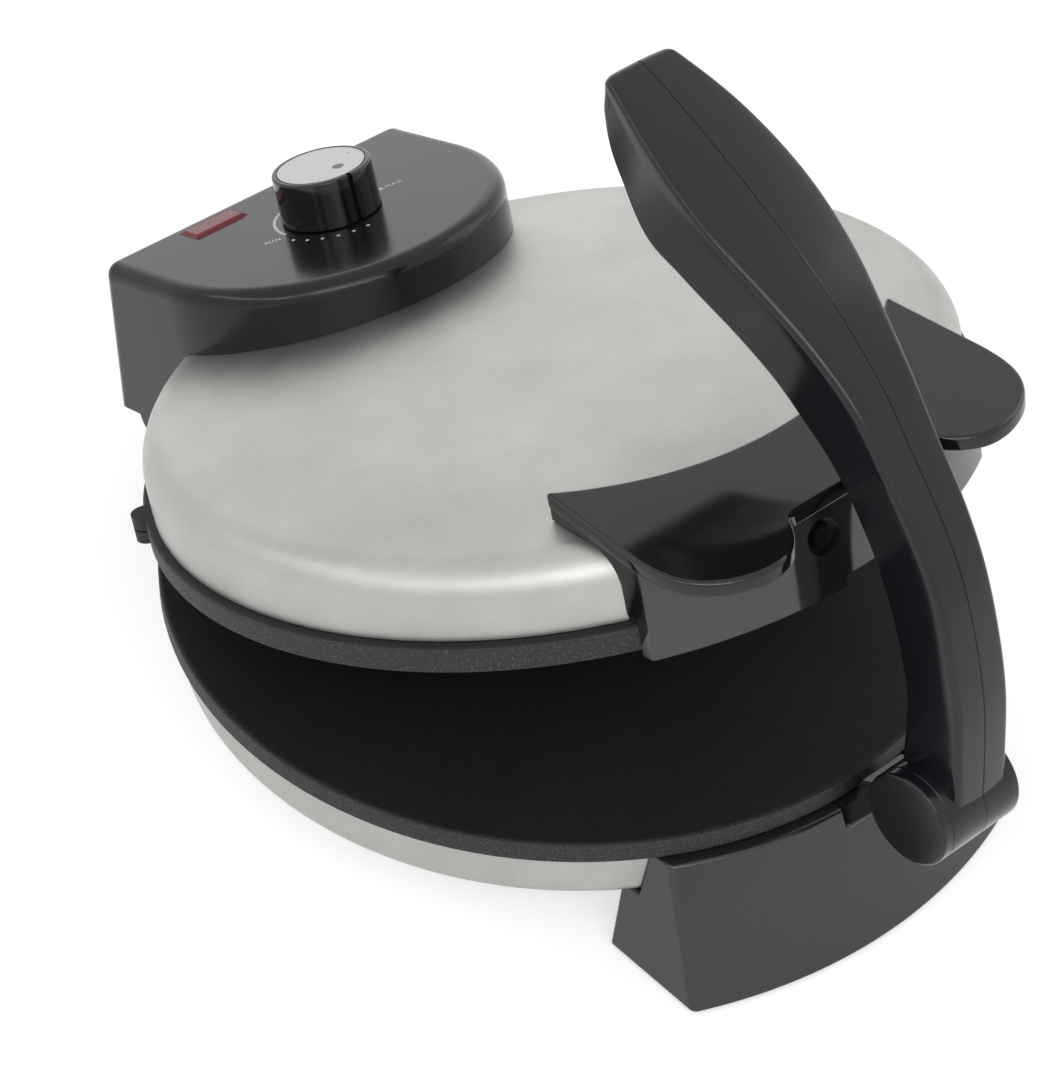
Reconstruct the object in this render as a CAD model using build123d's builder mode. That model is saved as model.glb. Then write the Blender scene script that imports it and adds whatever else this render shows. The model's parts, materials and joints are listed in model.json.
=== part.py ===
import math
import os

from build123d import *

os.makedirs("parts", exist_ok=True)

# ---------------------------------------------------------------- driving dimensions (millimetres)
# Heights are above the lower cooking face and distances are behind the plate axis, unless a name
# says otherwise.  The lid and its pieces are drawn shut and then swung up to the angle they stand at.

# Cooking plates
plate_radius = 116.0
plate_web = 4.0
plate_rim_wall = 7.0
plate_edge_round = 1.2
lower_rim_height = 7.2
upper_rim_height = 8.2
faces_apart = 0.3
lug_radius = 3.9
lug_reach = 115.6
lug_bearing = 149.0
lug_waist = 0.5

# Heating elements, cast under each plate
heater_ring = 74.0
heater_tube = 3.25
heater_seat_gap = 0.15
heater_sweep = 320.0
heater_rib_half = 7.0
heater_rib_depth = 3.9
terminal_radius = 1.6
terminal_length = 10.0
terminal_gap = 1.0
fuse_radius = 3.0
fuse_length = 26.0
fuse_gap = 0.1

# Stainless base shell, its floor and the plate's posts
sheet = 0.8
shell_radius = 112.0
shell_depth = 24.2
shell_bend = 3.6
floor_hole = 72.0
post_ring = 92.0
post_radius = 5.0
post_count = 4
post_bearing = 45.0
reflector_sheet = 0.5
reflector_radius = 104.0
reflector_depth = 17.0
reflector_hole = 14.0
reflector_bend = 4.0
bottom_cover_radius = 80.0
bottom_cover_sheet = 1.4
vent_count = 18
vent_ring = 50.0
vent_length = 22.0
vent_width = 3.0
cover_screw_ring = 76.0

# Stainless lid cover, with its domed top
cover_radius = 113.4
cover_seat = 0.2
cover_top_height = 38.7
cover_dome_radius = 530.0
cover_edge_round = 10.4
wire_hole_radius = 6.0
wire_hole_back = 72.0

# Feet
foot_drop = 47.0
pad_height = 1.0
pad_radius = 7.0
pad_recess = 1.2
foot_wall = 2.8
foot_deck = 3.0
foot_seat_gap = 0.3
foot_top = -8.0
front_foot_rear = -88.5
front_top_half = 58.0
front_top_corner = -103.6
front_top_nose = -118.6
front_base_half = 63.4
front_base_corner = -120.8
front_base_nose = -135.0
foot_corner_round = 2.5
foot_screw_across = 38.0
foot_screw_back = 97.0
rear_foot_front = 88.5
rear_top_half = 46.0
rear_top_corner = 116.0
rear_top_nose = 126.0
rear_base_half = 50.0
rear_base_corner = 119.0
rear_base_nose = 131.0
rib_across = 22.0
rib_wall = 2.2
rib_lift = 4.0
pad_boss_wall = 1.6
pad_boss_bore = 5.0
pad_fit = 0.1
front_pad_across = 46.0
front_pad_back = -107.0
rear_pad_across = 38.0
rear_pad_back = 109.0

# Hinge at the back
hinge_back = 121.4
hinge_drop = 2.5
hinge_pin = 3.0
hinge_fit = 0.05
pin_seat = 0.02
hinge_across = 40.0
ear_width = 9.0
ear_radius = 6.6
side_gap = 0.4
lid_boss_radius = 7.2
lid_boss_height = 14.0
pin_end_wall = 1.4
pin_end_gap = 0.3
neck_front = 107.0
neck_rear = 119.9
neck_shoulder = -10.0
neck_step_back = 112.6
neck_step = -8.0
lid_angle = 16.0

# Control housing on the lid
housing_half = 55.4
housing_arc_back = 96.5
housing_top_rear = 129.4
housing_top_height = 46.8
housing_rake = 0.2278
housing_wall = 2.6
housing_roof = 2.6
housing_edge_round = 4.5
housing_bottom = -2.5
panel_slope = 0.05
cover_gap = 0.15
housing_screw_places = [(-34.0, 64.0), (34.0, 64.0), (-44.0, 92.0), (44.0, 92.0)]
housing_boss = 4.0
lid_screw_across = 37.4
lid_screw_back = 84.0
body_gap = 0.4

# Lamp
lamp_across = -21.0
lamp_back = 119.8
lamp_length = 18.6
lamp_width = 8.4
lamp_proud = 0.9
lamp_bevel = 1.1
lamp_body_height = 8.0
lamp_fit = 0.2
lamp_rim = 0.8

# Thermostat and its knob
knob_across = 1.5
knob_back = 91.0
knob_radius = 14.8
knob_height = 14.2
knob_lift = 0.5
knob_wall = 1.8
knob_draft = 0.7
knob_cap_radius = 12.9
knob_cap_sheet = 0.8
knob_rim = 0.7
pointer_width = 1.5
pointer_depth = 0.7
pointer_bearing = -92.0
shaft_radius = 3.0
shaft_flat = 1.8
shaft_fit = 0.05
shaft_seat = 0.02
shaft_depth = 9.0
knob_hub_radius = 5.6
knob_bore_depth = 10.0
thermostat_radius = 8.0
thermostat_height = 9.0
bushing_radius = 4.4
bushing_gap = 0.2
bracket_half = 15.0
bracket_width = 16.0
bracket_sheet = 1.2
bracket_screw_across = 11.5

# Front handle on the lid
wing_tip_across = 61.0
wing_tip_back = -73.0
wing_tip_height = 38.3
wing_slope = 0.21
wing_waist_back = -93.3
wing_thickness = 4.2
wing_edge = [
    (62.0, -98.0),
    (64.5, -111.0),
    (64.0, -117.5),
    (59.6, -126.0),
    (51.3, -132.9),
    (41.2, -133.8),
    (33.2, -130.6),
    (28.3, -127.5),
    (23.3, -120.6),
]
wing_far_back = -150.0
wing_near_back = -50.0
skirt_radius = 119.6
skirt_half = 59.6
skirt_bottom = -1.0
skirt_gap = 0.4
skirt_notch_half = 7.0
skirt_notch_height = 3.2
handle_wall = 2.6
handle_screw_across = 12.2
handle_screw_height = 16.0
handle_recess_radius = 5.2
handle_recess_depth = 3.0
handle_boss_radius = 7.4
handle_block_half = 5.0
handle_block_back = -105.6
handle_block_length = 5.0
handle_block_height = 21.0
handle_screw_grip = 10.0
wing_round = 1.6

# Lever
pivot_back = -144.6
pivot_height = 13.7
pivot_pin = 3.0
pivot_fit = 0.05
barrel_radius = 13.4
barrel_half = 12.4
barrel_bore = 11.0
barrel_end_wall = 2.4
pivot_cap_thickness = 3.2
pivot_cap_round = 0.8
knuckle_radius = 8.4
knuckle_half = 8.0
knuckle_notch_gap = 0.8
knuckle_notch_depth = 5.0
knuckle_arm = [
    (-113.5, -24.5),
    (-113.5, -9.0),
    (-117.0, -8.2),
    (-120.8, -2.0),
    (-121.5, 4.5),
    (-143.0, 17.0),
    (-146.0, 10.5),
    (-132.0, 3.0),
    (-127.0, -3.5),
    (-121.2, -12.5),
]
window_half = 9.2
window_from = 14.0
window_to = -140.0
lever_wall = 2.2
lever_edge_round = 2.4
lever_crown = 0.5
lever_inner_share = 0.86
groove_depth = 0.7
groove_top = 4.2
groove_width = 1.3
lever_boss_radius = 4.2
lever_well = 3.5
lever_bite = 5.0
lever_room_first = 2
lever_screw_stations = (3, 7, 11)
window_steps = 8
window_reach = 15.0
# Each station: distance back and height of the outer line, half width, depth
lever_stations = [
    (-156.2, 14.0, 9.4, 21.7),
    (-155.4, 24.0, 9.4, 21.3),
    (-154.3, 33.9, 9.4, 20.7),
    (-152.1, 48.8, 9.5, 19.8),
    (-146.5, 68.0, 9.5, 20.5),
    (-138.3, 86.6, 9.6, 21.1),
    (-129.1, 99.9, 10.0, 20.7),
    (-120.0, 110.5, 10.3, 20.5),
    (-109.0, 123.3, 11.0, 23.1),
    (-95.9, 134.7, 13.1, 23.1),
    (-81.8, 144.5, 15.9, 23.3),
    (-62.8, 154.6, 18.0, 24.6),
    (-50.2, 160.6, 17.5, 26.4),
    (-37.4, 166.2, 15.7, 22.3),
    (-22.1, 172.0, 12.0, 14.5),
    (-17.6, 173.3, 11.0, 9.0),
]

# Fasteners
screw_shank = 1.9
screw_head = 3.6
screw_head_height = 2.2
screw_clearance = 0.1
screw_grip = 9.0
nut_half = 3.6
nut_height = 2.6
small_shank = 1.3
small_head = 2.5
small_head_height = 1.6
small_grip = 6.0
small_pilot = 20.0
bracket_grip = 3.0
screw_boss_radius = 5.6
screw_boss_drop = 6.0

# Mains lead inlet at the back of the rear foot
inlet_bore = 3.6
inlet_radius = 6.0
inlet_flange = 8.0
inlet_flange_width = 2.0
inlet_length = 12.0
inlet_height = -36.0
inlet_seat_back = 130.9
inlet_seat_radius = 9.5
inlet_seat_depth = 8.0
terminal_block_length = 22.0
terminal_block_width = 10.0
terminal_block_height = 8.0
terminal_block_back = 108.0

# Where the object stands: the origin is the middle of its footprint, on the table
face_height = pad_height + foot_drop
front_reach = -(pivot_back - barrel_radius)
rear_reach = 142.5
plate_back = (front_reach - rear_reach) / 2

# ---------------------------------------------------------------- planes and axes
section = Plane((0, plate_back, face_height), x_dir=(1, 0, 0), z_dir=(0, -1, 0))
side = Plane((0, plate_back, face_height), x_dir=(0, 1, 0), z_dir=(1, 0, 0))
plate_axis = Axis((0, plate_back, face_height), (0, 0, 1))
hinge_axis = Axis((0, plate_back + hinge_back, face_height - hinge_drop), (1, 0, 0))
heater_start = 90 + (360 - heater_sweep) / 2
panel_height = housing_top_height + panel_slope * (housing_top_rear - knob_back)
panel = Plane(
    (0, plate_back + knob_back, face_height + panel_height),
    x_dir=(1, 0, 0),
    z_dir=(0, panel_slope, 1),
)


def plan(height):
    """Level plane about the plate axis, at a height above the lower cooking face."""
    return Plane((0, plate_back, face_height + height))


def across(distance):
    """Upright plane facing +X, at a distance from the middle."""
    return side.offset(distance)


def opened(piece):
    """Swing a piece of the shut lid up about the hinge, to where the lid stands."""
    return piece.rotate(hinge_axis, -lid_angle)


def ring_section(*corners):
    """Closed outline in radius and height, to be turned about the plate axis."""
    with BuildSketch(section) as outline:
        with BuildLine():
            Polyline(*corners, close=True)
        make_face()
    return outline.sketch


def dish_section(radius, rim, floor, hole, bend, thickness):
    """Half section of a pressed dish: upright wall, rolled bend and a flat floor with a hole."""
    floor_inside = floor + math.copysign(thickness, rim - floor)
    with BuildSketch(section) as outline:
        with BuildLine():
            outer = FilletPolyline((radius, rim), (radius, floor), (hole, floor), radius=bend)
            inner = FilletPolyline(
                (radius - thickness, rim),
                (radius - thickness, floor_inside),
                (hole, floor_inside),
                radius=bend - thickness,
            )
            Line(outer @ 0, inner @ 0)
            Line(outer @ 1, inner @ 1)
        make_face()
    return outline.sketch


def screw(plane, shank, head, head_height, grip):
    """Pan-head screw: its head stands behind the plane and its shank goes on past it."""
    with BuildPart(mode=Mode.PRIVATE) as body:
        with BuildSketch(plane):
            Circle(shank)
        extrude(amount=grip)
        with BuildSketch(plane):
            Circle(head)
        extrude(amount=-head_height, taper=12)
    return body.part


def spread(pieces, name):
    """One node of separate identical solids."""
    group = Compound(children=list(pieces))
    group.label = name
    return group


# ---------------------------------------------------------------- sections both plates share
def plate_disc(down, rim_height, face):
    """Plate with its rim; down is -1 where the hollow side faces down and +1 where it faces up."""
    return ring_section(
        (0, face),
        (plate_radius, face),
        (plate_radius, down * rim_height),
        (plate_radius - plate_rim_wall, down * rim_height),
        (plate_radius - plate_rim_wall, down * plate_web),
        (0, down * plate_web),
    )


def heater_rib(down):
    """Thick ring on the hollow side, which the heating tube is let into."""
    rib_end = down * (plate_web + heater_rib_depth)
    return ring_section(
        (heater_ring - heater_rib_half, down * plate_web),
        (heater_ring + heater_rib_half, down * plate_web),
        (heater_ring + heater_rib_half - 1, rib_end),
        (heater_ring - heater_rib_half + 1, rib_end),
    )


def heater_circle(down, radius):
    """Round section of the heating tube, half sunk in the rib's end."""
    with BuildSketch(section) as circle:
        with Locations((heater_ring, down * (plate_web + heater_rib_depth))):
            Circle(radius)
    return circle.sketch


def heater_element(down):
    """Tube bent to an open ring, with a terminal standing away from the plate at each end."""
    rib_end = down * (plate_web + heater_rib_depth)
    with BuildPart(mode=Mode.PRIVATE) as element:
        revolve(heater_circle(down, heater_tube), axis=plate_axis, revolution_arc=heater_sweep)
        with BuildSketch(plan(rib_end)):
            with PolarLocations(heater_ring, 2, 0, heater_sweep, endpoint=True):
                Circle(heater_tube)
        extrude(amount=down * heater_tube)
        with BuildSketch(plan(rib_end)):
            with PolarLocations(heater_ring, 2, 0, heater_sweep, endpoint=True):
                Circle(terminal_radius)
        extrude(amount=down * terminal_length)
    return element.part.rotate(plate_axis, heater_start)


def heat_fuse(down):
    """Sleeved thermal fuse lying on the plate's web, with a lead at each end."""
    seat = down * (plate_web + fuse_gap + fuse_radius)
    with BuildPart(mode=Mode.PRIVATE) as fuse:
        with BuildSketch(across(0)):
            with Locations((0, seat)):
                Circle(fuse_radius)
        extrude(amount=fuse_length / 2, both=True)
        chamfer(fuse.edges().filter_by(GeomType.CIRCLE), 0.6)
        with BuildSketch(across(0)):
            with Locations((0, seat)):
                Circle(fuse_radius / 4)
        extrude(amount=fuse_length / 2 + 9, both=True)
    return fuse.part


def post_places():
    """Where the posts that hold a plate to its cover stand."""
    return PolarLocations(post_ring, post_count, post_bearing)


# ---------------------------------------------------------------- lower plate
post_end = -(shell_depth - sheet)
with BuildPart() as lower_plate:
    revolve(plate_disc(-1, lower_rim_height, 0), axis=plate_axis)
    fillet(lower_plate.edges().filter_by(GeomType.CIRCLE).sort_by(SortBy.RADIUS)[-2:], plate_edge_round)
    revolve(heater_rib(-1), axis=plate_axis)
    revolve(heater_circle(-1, heater_tube + heater_seat_gap), axis=plate_axis, mode=Mode.SUBTRACT)
    with BuildSketch(plan(-plate_web)):
        with post_places():
            Circle(post_radius)
    extrude(amount=post_end + plate_web)
    with BuildSketch(plan(post_end)):
        with post_places():
            Circle(screw_shank + screw_clearance)
    extrude(amount=screw_grip + 1, mode=Mode.SUBTRACT)
lower_plate.part.label = "lower_plate"
export_step(lower_plate.part, "parts/lower_plate.step")

lower_heater = heater_element(-1)
lower_heater.label = "lower_heater"
export_step(lower_heater, "parts/lower_heater.step")

lower_fuse = heat_fuse(-1)
lower_fuse.label = "lower_thermal_fuse"
export_step(lower_fuse, "parts/lower_thermal_fuse.step")

with BuildPart() as lower_reflector:
    revolve(
        dish_section(
            reflector_radius,
            -plate_web - foot_seat_gap,
            -reflector_depth,
            reflector_hole,
            reflector_bend,
            reflector_sheet,
        ),
        axis=plate_axis,
    )
    with BuildSketch(plan(-reflector_depth)):
        with post_places():
            Circle(post_radius + foot_seat_gap)
        with PolarLocations(heater_ring, 2, heater_start, heater_sweep, endpoint=True):
            Circle(terminal_radius + terminal_gap)
    extrude(amount=reflector_sheet * 2, both=True, mode=Mode.SUBTRACT)
lower_reflector.part.label = "lower_reflector"
export_step(lower_reflector.part, "parts/lower_reflector.step")

# ---------------------------------------------------------------- base shell and bottom cover
foot_screw_places = [
    (over * foot_screw_across, behind * foot_screw_back) for over in (-1, 1) for behind in (-1, 1)
]

with BuildPart() as base_shell:
    revolve(
        dish_section(shell_radius, -lower_rim_height, -shell_depth, floor_hole, shell_bend, sheet),
        axis=plate_axis,
    )
    with BuildSketch(plan(-shell_depth)):
        with post_places():
            Circle(screw_shank + screw_clearance)
        with Locations(*foot_screw_places):
            Circle(screw_shank + screw_clearance)
        with PolarLocations(cover_screw_ring, post_count):
            Circle(small_shank + screw_clearance)
    extrude(amount=sheet, mode=Mode.SUBTRACT)
base_shell.part.label = "base_shell"
export_step(base_shell.part, "parts/base_shell.step")

with BuildPart() as bottom_cover:
    with BuildSketch(plan(-shell_depth)):
        Circle(bottom_cover_radius)
        with PolarLocations(vent_ring, vent_count):
            SlotOverall(vent_length, vent_width, mode=Mode.SUBTRACT)
        with PolarLocations(cover_screw_ring, post_count):
            Circle(small_shank + screw_clearance, mode=Mode.SUBTRACT)
    extrude(amount=-bottom_cover_sheet)
    chamfer(bottom_cover.faces().sort_by(Axis.Z)[0].outer_wire().edges(), bottom_cover_sheet / 2)
bottom_cover.part.label = "bottom_cover"
export_step(bottom_cover.part, "parts/bottom_cover.step")

plate_screw = screw(plan(-shell_depth), screw_shank, screw_head, screw_head_height, sheet + screw_grip)
plate_screws = spread(
    [
        plate_screw.moved(Location(place.position))
        for place in PolarLocations(post_ring, post_count, post_bearing)
    ],
    "plate_screws",
)
export_step(plate_screws, "parts/plate_screws.step")

cover_screw = screw(
    plan(-shell_depth - bottom_cover_sheet), small_shank, small_head, small_head_height, small_grip
)
cover_screws = spread(
    [
        cover_screw.moved(Location(place.position))
        for place in PolarLocations(cover_screw_ring, post_count)
    ],
    "cover_screws",
)
export_step(cover_screws, "parts/cover_screws.step")


# ---------------------------------------------------------------- feet
def foot_outline(height, half, corner, nose, back, inset):
    """Outline of a foot at one height: straight back and sides, and an arc for its nose."""
    toward = math.copysign(inset, corner)
    with BuildSketch(plan(height)) as outline:
        with BuildLine():
            front = ThreePointArc(
                (-half + inset, corner - toward),
                (0, nose - toward),
                (half - inset, corner - toward),
            )
            Polyline(front @ 1, (half - inset, back + toward), (-half + inset, back + toward), front @ 0)
        make_face()
        bends = outline.vertices().filter_by(lambda bend: abs(bend.Y - back) > foot_wall * 2)
        fillet(bends, foot_corner_round)
    return outline.sketch


def foot_block(base, top, top_height, back, inset):
    """Raked block of a foot, drawn in by an inset."""
    with BuildPart(mode=Mode.PRIVATE) as block:
        loft([foot_outline(-foot_drop, *base, back, inset), foot_outline(top_height, *top, back, inset)], ruled=True)
    return block.part


def foot_hollow(base, top, top_height, back, roof):
    """Room inside a foot: under its deck, and under the part of it that stands up round the shell."""
    with BuildPart(mode=Mode.PRIVATE) as room:
        add(foot_block(base, top, top_height, back, foot_wall))
        with BuildSketch(plan(-shell_depth - foot_deck)):
            Circle(shell_radius + foot_seat_gap + foot_wall)
        extrude(amount=shell_depth, mode=Mode.SUBTRACT)
        with BuildSketch(plan(roof)):
            Rectangle(plate_radius * 4, plate_radius * 4)
        extrude(amount=shell_depth, mode=Mode.SUBTRACT)
    return room.part


def foot_inside(base, top, top_height, back, screw_back, pad_across, pad_back):
    """Ribs, screw bosses and pad bosses that stand under the deck of a foot."""
    with BuildPart(mode=Mode.PRIVATE) as inside:
        with BuildSketch(plan(-foot_drop + rib_lift)):
            with Locations((-rib_across, pad_back), (rib_across, pad_back)):
                Rectangle(rib_wall, plate_radius)
        extrude(amount=foot_drop - rib_lift - shell_depth - foot_deck)
        with BuildSketch(plan(-shell_depth - foot_deck - screw_boss_drop)):
            with Locations((-foot_screw_across, screw_back), (foot_screw_across, screw_back)):
                Circle(screw_boss_radius)
        extrude(amount=screw_boss_drop)
        with BuildSketch(plan(-foot_drop)):
            with Locations((-pad_across, pad_back), (pad_across, pad_back)):
                Circle(pad_radius + pad_boss_wall)
        extrude(amount=foot_drop - shell_depth - foot_deck)
        add(foot_block(base, top, top_height, back, 0), mode=Mode.INTERSECT)
    return inside.part


def foot_openings(screw_back, pad_across, pad_back):
    """Screw holes with their wells, and the recesses and bores of the pads."""
    with BuildPart(mode=Mode.PRIVATE) as openings:
        with BuildSketch(plan(-foot_drop)):
            with Locations((-foot_screw_across, screw_back), (foot_screw_across, screw_back)):
                Circle(screw_shank + screw_clearance)
            with Locations((-pad_across, pad_back), (pad_across, pad_back)):
                Circle(pad_boss_bore)
        extrude(amount=foot_drop - shell_depth - foot_deck)
        with BuildSketch(plan(-foot_drop)):
            with Locations((-foot_screw_across, screw_back), (foot_screw_across, screw_back)):
                Circle(screw_shank + screw_clearance)
        extrude(amount=foot_drop)
        with BuildSketch(plan(-foot_drop)):
            with Locations((-foot_screw_across, screw_back), (foot_screw_across, screw_back)):
                Circle(screw_head + screw_clearance)
        extrude(amount=foot_drop - shell_depth - foot_deck)
        with BuildSketch(plan(-foot_drop)):
            with Locations((-pad_across, pad_back), (pad_across, pad_back)):
                Circle(pad_radius + pad_fit)
        extrude(amount=pad_recess)
    return openings.part


def shell_seat():
    """Round of the shell, cleared out of whatever stands up beside it."""
    with BuildPart(mode=Mode.PRIVATE) as seat:
        with BuildSketch(plan(-shell_depth)):
            Circle(shell_radius + foot_seat_gap)
        extrude(amount=shell_depth)
    return seat.part


front_base = (front_base_half, front_base_corner, front_base_nose)
front_top = (front_top_half, front_top_corner, front_top_nose)
rear_base = (rear_base_half, rear_base_corner, rear_base_nose)
rear_top = (rear_top_half, rear_top_corner, rear_top_nose)

with BuildPart() as front_foot:
    add(foot_block(front_base, front_top, foot_top, front_foot_rear, 0))
    add(foot_hollow(front_base, front_top, foot_top, front_foot_rear, foot_top - foot_deck), mode=Mode.SUBTRACT)
    add(
        foot_inside(
            front_base, front_top, foot_top, front_foot_rear, -foot_screw_back, front_pad_across, front_pad_back
        )
    )
    with BuildSketch(across(0)):
        with Locations((front_top_nose, foot_top)):
            Rectangle(-2 * (front_top_nose + shell_radius), 2 * knuckle_notch_depth)
    extrude(amount=knuckle_half + knuckle_notch_gap, both=True, mode=Mode.SUBTRACT)
    with BuildSketch(across(0)):
        with BuildLine():
            Polyline(*knuckle_arm, close=True)
        make_face()
        with Locations((pivot_back, pivot_height)):
            Circle(knuckle_radius)
    extrude(amount=knuckle_half, both=True)
    add(shell_seat(), mode=Mode.SUBTRACT)
    add(foot_openings(-foot_screw_back, front_pad_across, front_pad_back), mode=Mode.SUBTRACT)
    with BuildSketch(across(0)):
        with Locations((pivot_back, pivot_height)):
            Circle(pivot_pin + pin_seat)
    extrude(amount=knuckle_half, both=True, mode=Mode.SUBTRACT)
front_foot.part.label = "front_foot"
export_step(front_foot.part, "parts/front_foot.step")

with BuildPart() as rear_foot:
    add(foot_block(rear_base, rear_top, -shell_depth, rear_foot_front, 0))
    add(
        foot_hollow(rear_base, rear_top, -shell_depth, rear_foot_front, -shell_depth - foot_deck),
        mode=Mode.SUBTRACT,
    )
    add(
        foot_inside(
            rear_base, rear_top, -shell_depth, rear_foot_front, foot_screw_back, rear_pad_across, rear_pad_back
        )
    )
    for over in (-1, 1):
        with BuildSketch(across(over * hinge_across)):
            with BuildLine():
                Polyline(
                    (neck_front, -shell_depth - foot_deck / 2),
                    (neck_front, neck_step),
                    (neck_step_back, neck_step),
                    (hinge_back - ear_radius, -hinge_drop),
                    (hinge_back, -hinge_drop),
                    (neck_rear, neck_shoulder),
                    (neck_rear, -shell_depth - foot_deck / 2),
                    close=True,
                )
            make_face()
            with Locations((hinge_back, -hinge_drop)):
                Circle(ear_radius)
        extrude(amount=ear_width / 2, both=True)
    with BuildSketch(side):
        with Locations((hinge_back, -hinge_drop)):
            Circle(hinge_pin + pin_seat)
    extrude(amount=rear_base_half, both=True, mode=Mode.SUBTRACT)
    inlet_face = Plane(
        (0, plate_back + inlet_seat_back, face_height + inlet_height), x_dir=(1, 0, 0), z_dir=(0, 1, 0)
    )
    with BuildSketch(inlet_face):
        Circle(inlet_seat_radius)
    extrude(amount=-inlet_seat_depth)
    with BuildSketch(inlet_face):
        Circle(inlet_radius + pad_fit)
    extrude(amount=-inlet_seat_depth, mode=Mode.SUBTRACT)
    add(foot_openings(foot_screw_back, rear_pad_across, rear_pad_back), mode=Mode.SUBTRACT)
rear_foot.part.label = "rear_foot"
export_step(rear_foot.part, "parts/rear_foot.step")

with BuildPart() as foot_pad:
    with BuildSketch(Plane.XY):
        Circle(pad_radius)
    extrude(amount=pad_height + pad_recess)
    chamfer(foot_pad.faces().sort_by(Axis.Z)[0].edges(), pad_height / 2)
foot_pads = spread(
    [
        foot_pad.part.moved(Location((over * spot[0], plate_back + spot[1], 0)))
        for over in (-1, 1)
        for spot in ((front_pad_across, front_pad_back), (rear_pad_across, rear_pad_back))
    ],
    "foot_pads",
)
export_step(foot_pads, "parts/foot_pads.step")

foot_screw = screw(
    plan(-shell_depth - foot_deck), screw_shank, screw_head, screw_head_height, foot_deck + sheet + nut_height + 1
)
foot_screws = spread([foot_screw.moved(Location((*spot, 0))) for spot in foot_screw_places], "foot_screws")
export_step(foot_screws, "parts/foot_screws.step")

with BuildPart() as foot_nut:
    with BuildSketch(plan(-shell_depth + sheet)):
        RegularPolygon(nut_half, 6, major_radius=False)
        Circle(screw_shank + screw_clearance / 2, mode=Mode.SUBTRACT)
    extrude(amount=nut_height)
foot_nuts = spread([foot_nut.part.moved(Location((*spot, 0))) for spot in foot_screw_places], "foot_nuts")
export_step(foot_nuts, "parts/foot_nuts.step")

with BuildPart() as hinge_pins:
    for over in (-1, 1):
        with BuildSketch(across(over * (hinge_across - ear_width / 2))):
            with Locations((hinge_back, -hinge_drop)):
                Circle(hinge_pin)
        extrude(amount=over * (housing_half - pin_end_wall - pin_end_gap - hinge_across + ear_width / 2))
hinge_pins.part.label = "hinge_pins"
export_step(hinge_pins.part, "parts/hinge_pins.step")

with BuildPart() as lever_pin:
    with BuildSketch(side):
        with Locations((pivot_back, pivot_height)):
            Circle(pivot_pin)
    extrude(amount=barrel_half - pin_end_gap, both=True)
lever_pin.part.label = "lever_pin"
export_step(lever_pin.part, "parts/lever_pin.step")

with BuildPart() as cord_gland:
    with BuildSketch(inlet_face):
        Circle(inlet_flange)
    extrude(amount=inlet_flange_width)
    fillet(cord_gland.edges().group_by(Axis.Y)[-1], inlet_flange_width / 2)
    with BuildSketch(inlet_face):
        Circle(inlet_radius)
    extrude(amount=-inlet_length)
    with BuildSketch(inlet_face.offset(inlet_flange_width)):
        Circle(inlet_bore)
    extrude(amount=-inlet_length - inlet_flange_width, mode=Mode.SUBTRACT)
cord_gland.part.label = "cord_gland"
export_step(cord_gland.part, "parts/cord_gland.step")

with BuildPart() as terminal_block:
    with BuildSketch(plan(-shell_depth - foot_deck)):
        with Locations((0, terminal_block_back)):
            Rectangle(terminal_block_length, terminal_block_width)
    extrude(amount=-terminal_block_height)
    chamfer(terminal_block.edges().filter_by(Axis.X), terminal_block_width / 8)
    with BuildSketch(plan(-shell_depth - foot_deck - terminal_block_height)):
        with Locations((0, terminal_block_back)):
            with GridLocations(terminal_block_length / 3, 1, 3, 1):
                Circle(terminal_radius)
    extrude(amount=terminal_block_height / 2, mode=Mode.SUBTRACT)
terminal_block.part.label = "terminal_block"
export_step(terminal_block.part, "parts/terminal_block.step")


# ---------------------------------------------------------------- lid: plate, heater, fuse, reflector
def cover_outline(inset):
    """Half section of the domed lid cover, drawn in by an inset; a negative one draws it out."""
    radius = cover_radius - inset
    dome = cover_dome_radius - inset
    crown = cover_top_height - inset
    edge = crown - dome + math.sqrt(dome**2 - radius**2)
    middle = crown - dome + math.sqrt(dome**2 - (radius / 2) ** 2)
    with BuildSketch(section) as outline:
        with BuildLine():
            Polyline((0, crown), (0, upper_rim_height + cover_seat), (radius, upper_rim_height + cover_seat))
            Line((radius, upper_rim_height + cover_seat), (radius, edge))
            ThreePointArc((radius, edge), (radius / 2, middle), (0, crown))
        make_face()
        fillet(outline.vertices().sort_by_distance((radius, edge))[0], cover_edge_round - inset)
    return outline.sketch


def cover_room(inset):
    """Everything inside the lid cover, as a solid."""
    with BuildPart(mode=Mode.PRIVATE) as room:
        revolve(cover_outline(inset), axis=plate_axis)
    return room.part


def dome_height(radius):
    """Height of the top of the lid cover at a radius inside its rounded edge."""
    return cover_top_height - cover_dome_radius + math.sqrt(cover_dome_radius**2 - radius**2)


def lid_screw(across_by, back_by, head_below):
    """Level screw seated against the sloping cover: its head inside the cover or on top of it."""
    radius = math.hypot(across_by, back_by)
    if head_below:
        seat = dome_height(radius + small_head) - sheet * 2
        seated = screw(plan(seat), small_shank, small_head, small_head_height, small_grip)
    else:
        seat = dome_height(radius - screw_head) + cover_gap
        seated = screw(-plan(seat), screw_shank, screw_head, screw_head_height, screw_grip)
    return seated.moved(Location((across_by, back_by, 0)))


lid_post_end = dome_height(post_ring + post_radius) - sheet * 2
lid_post_places = [(-lid_screw_across, lid_screw_back), (lid_screw_across, lid_screw_back)]
handle_screw_line = Plane(
    (0, plate_back, face_height + handle_screw_height), x_dir=(1, 0, 0), z_dir=(0, 1, 0)
)

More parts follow.
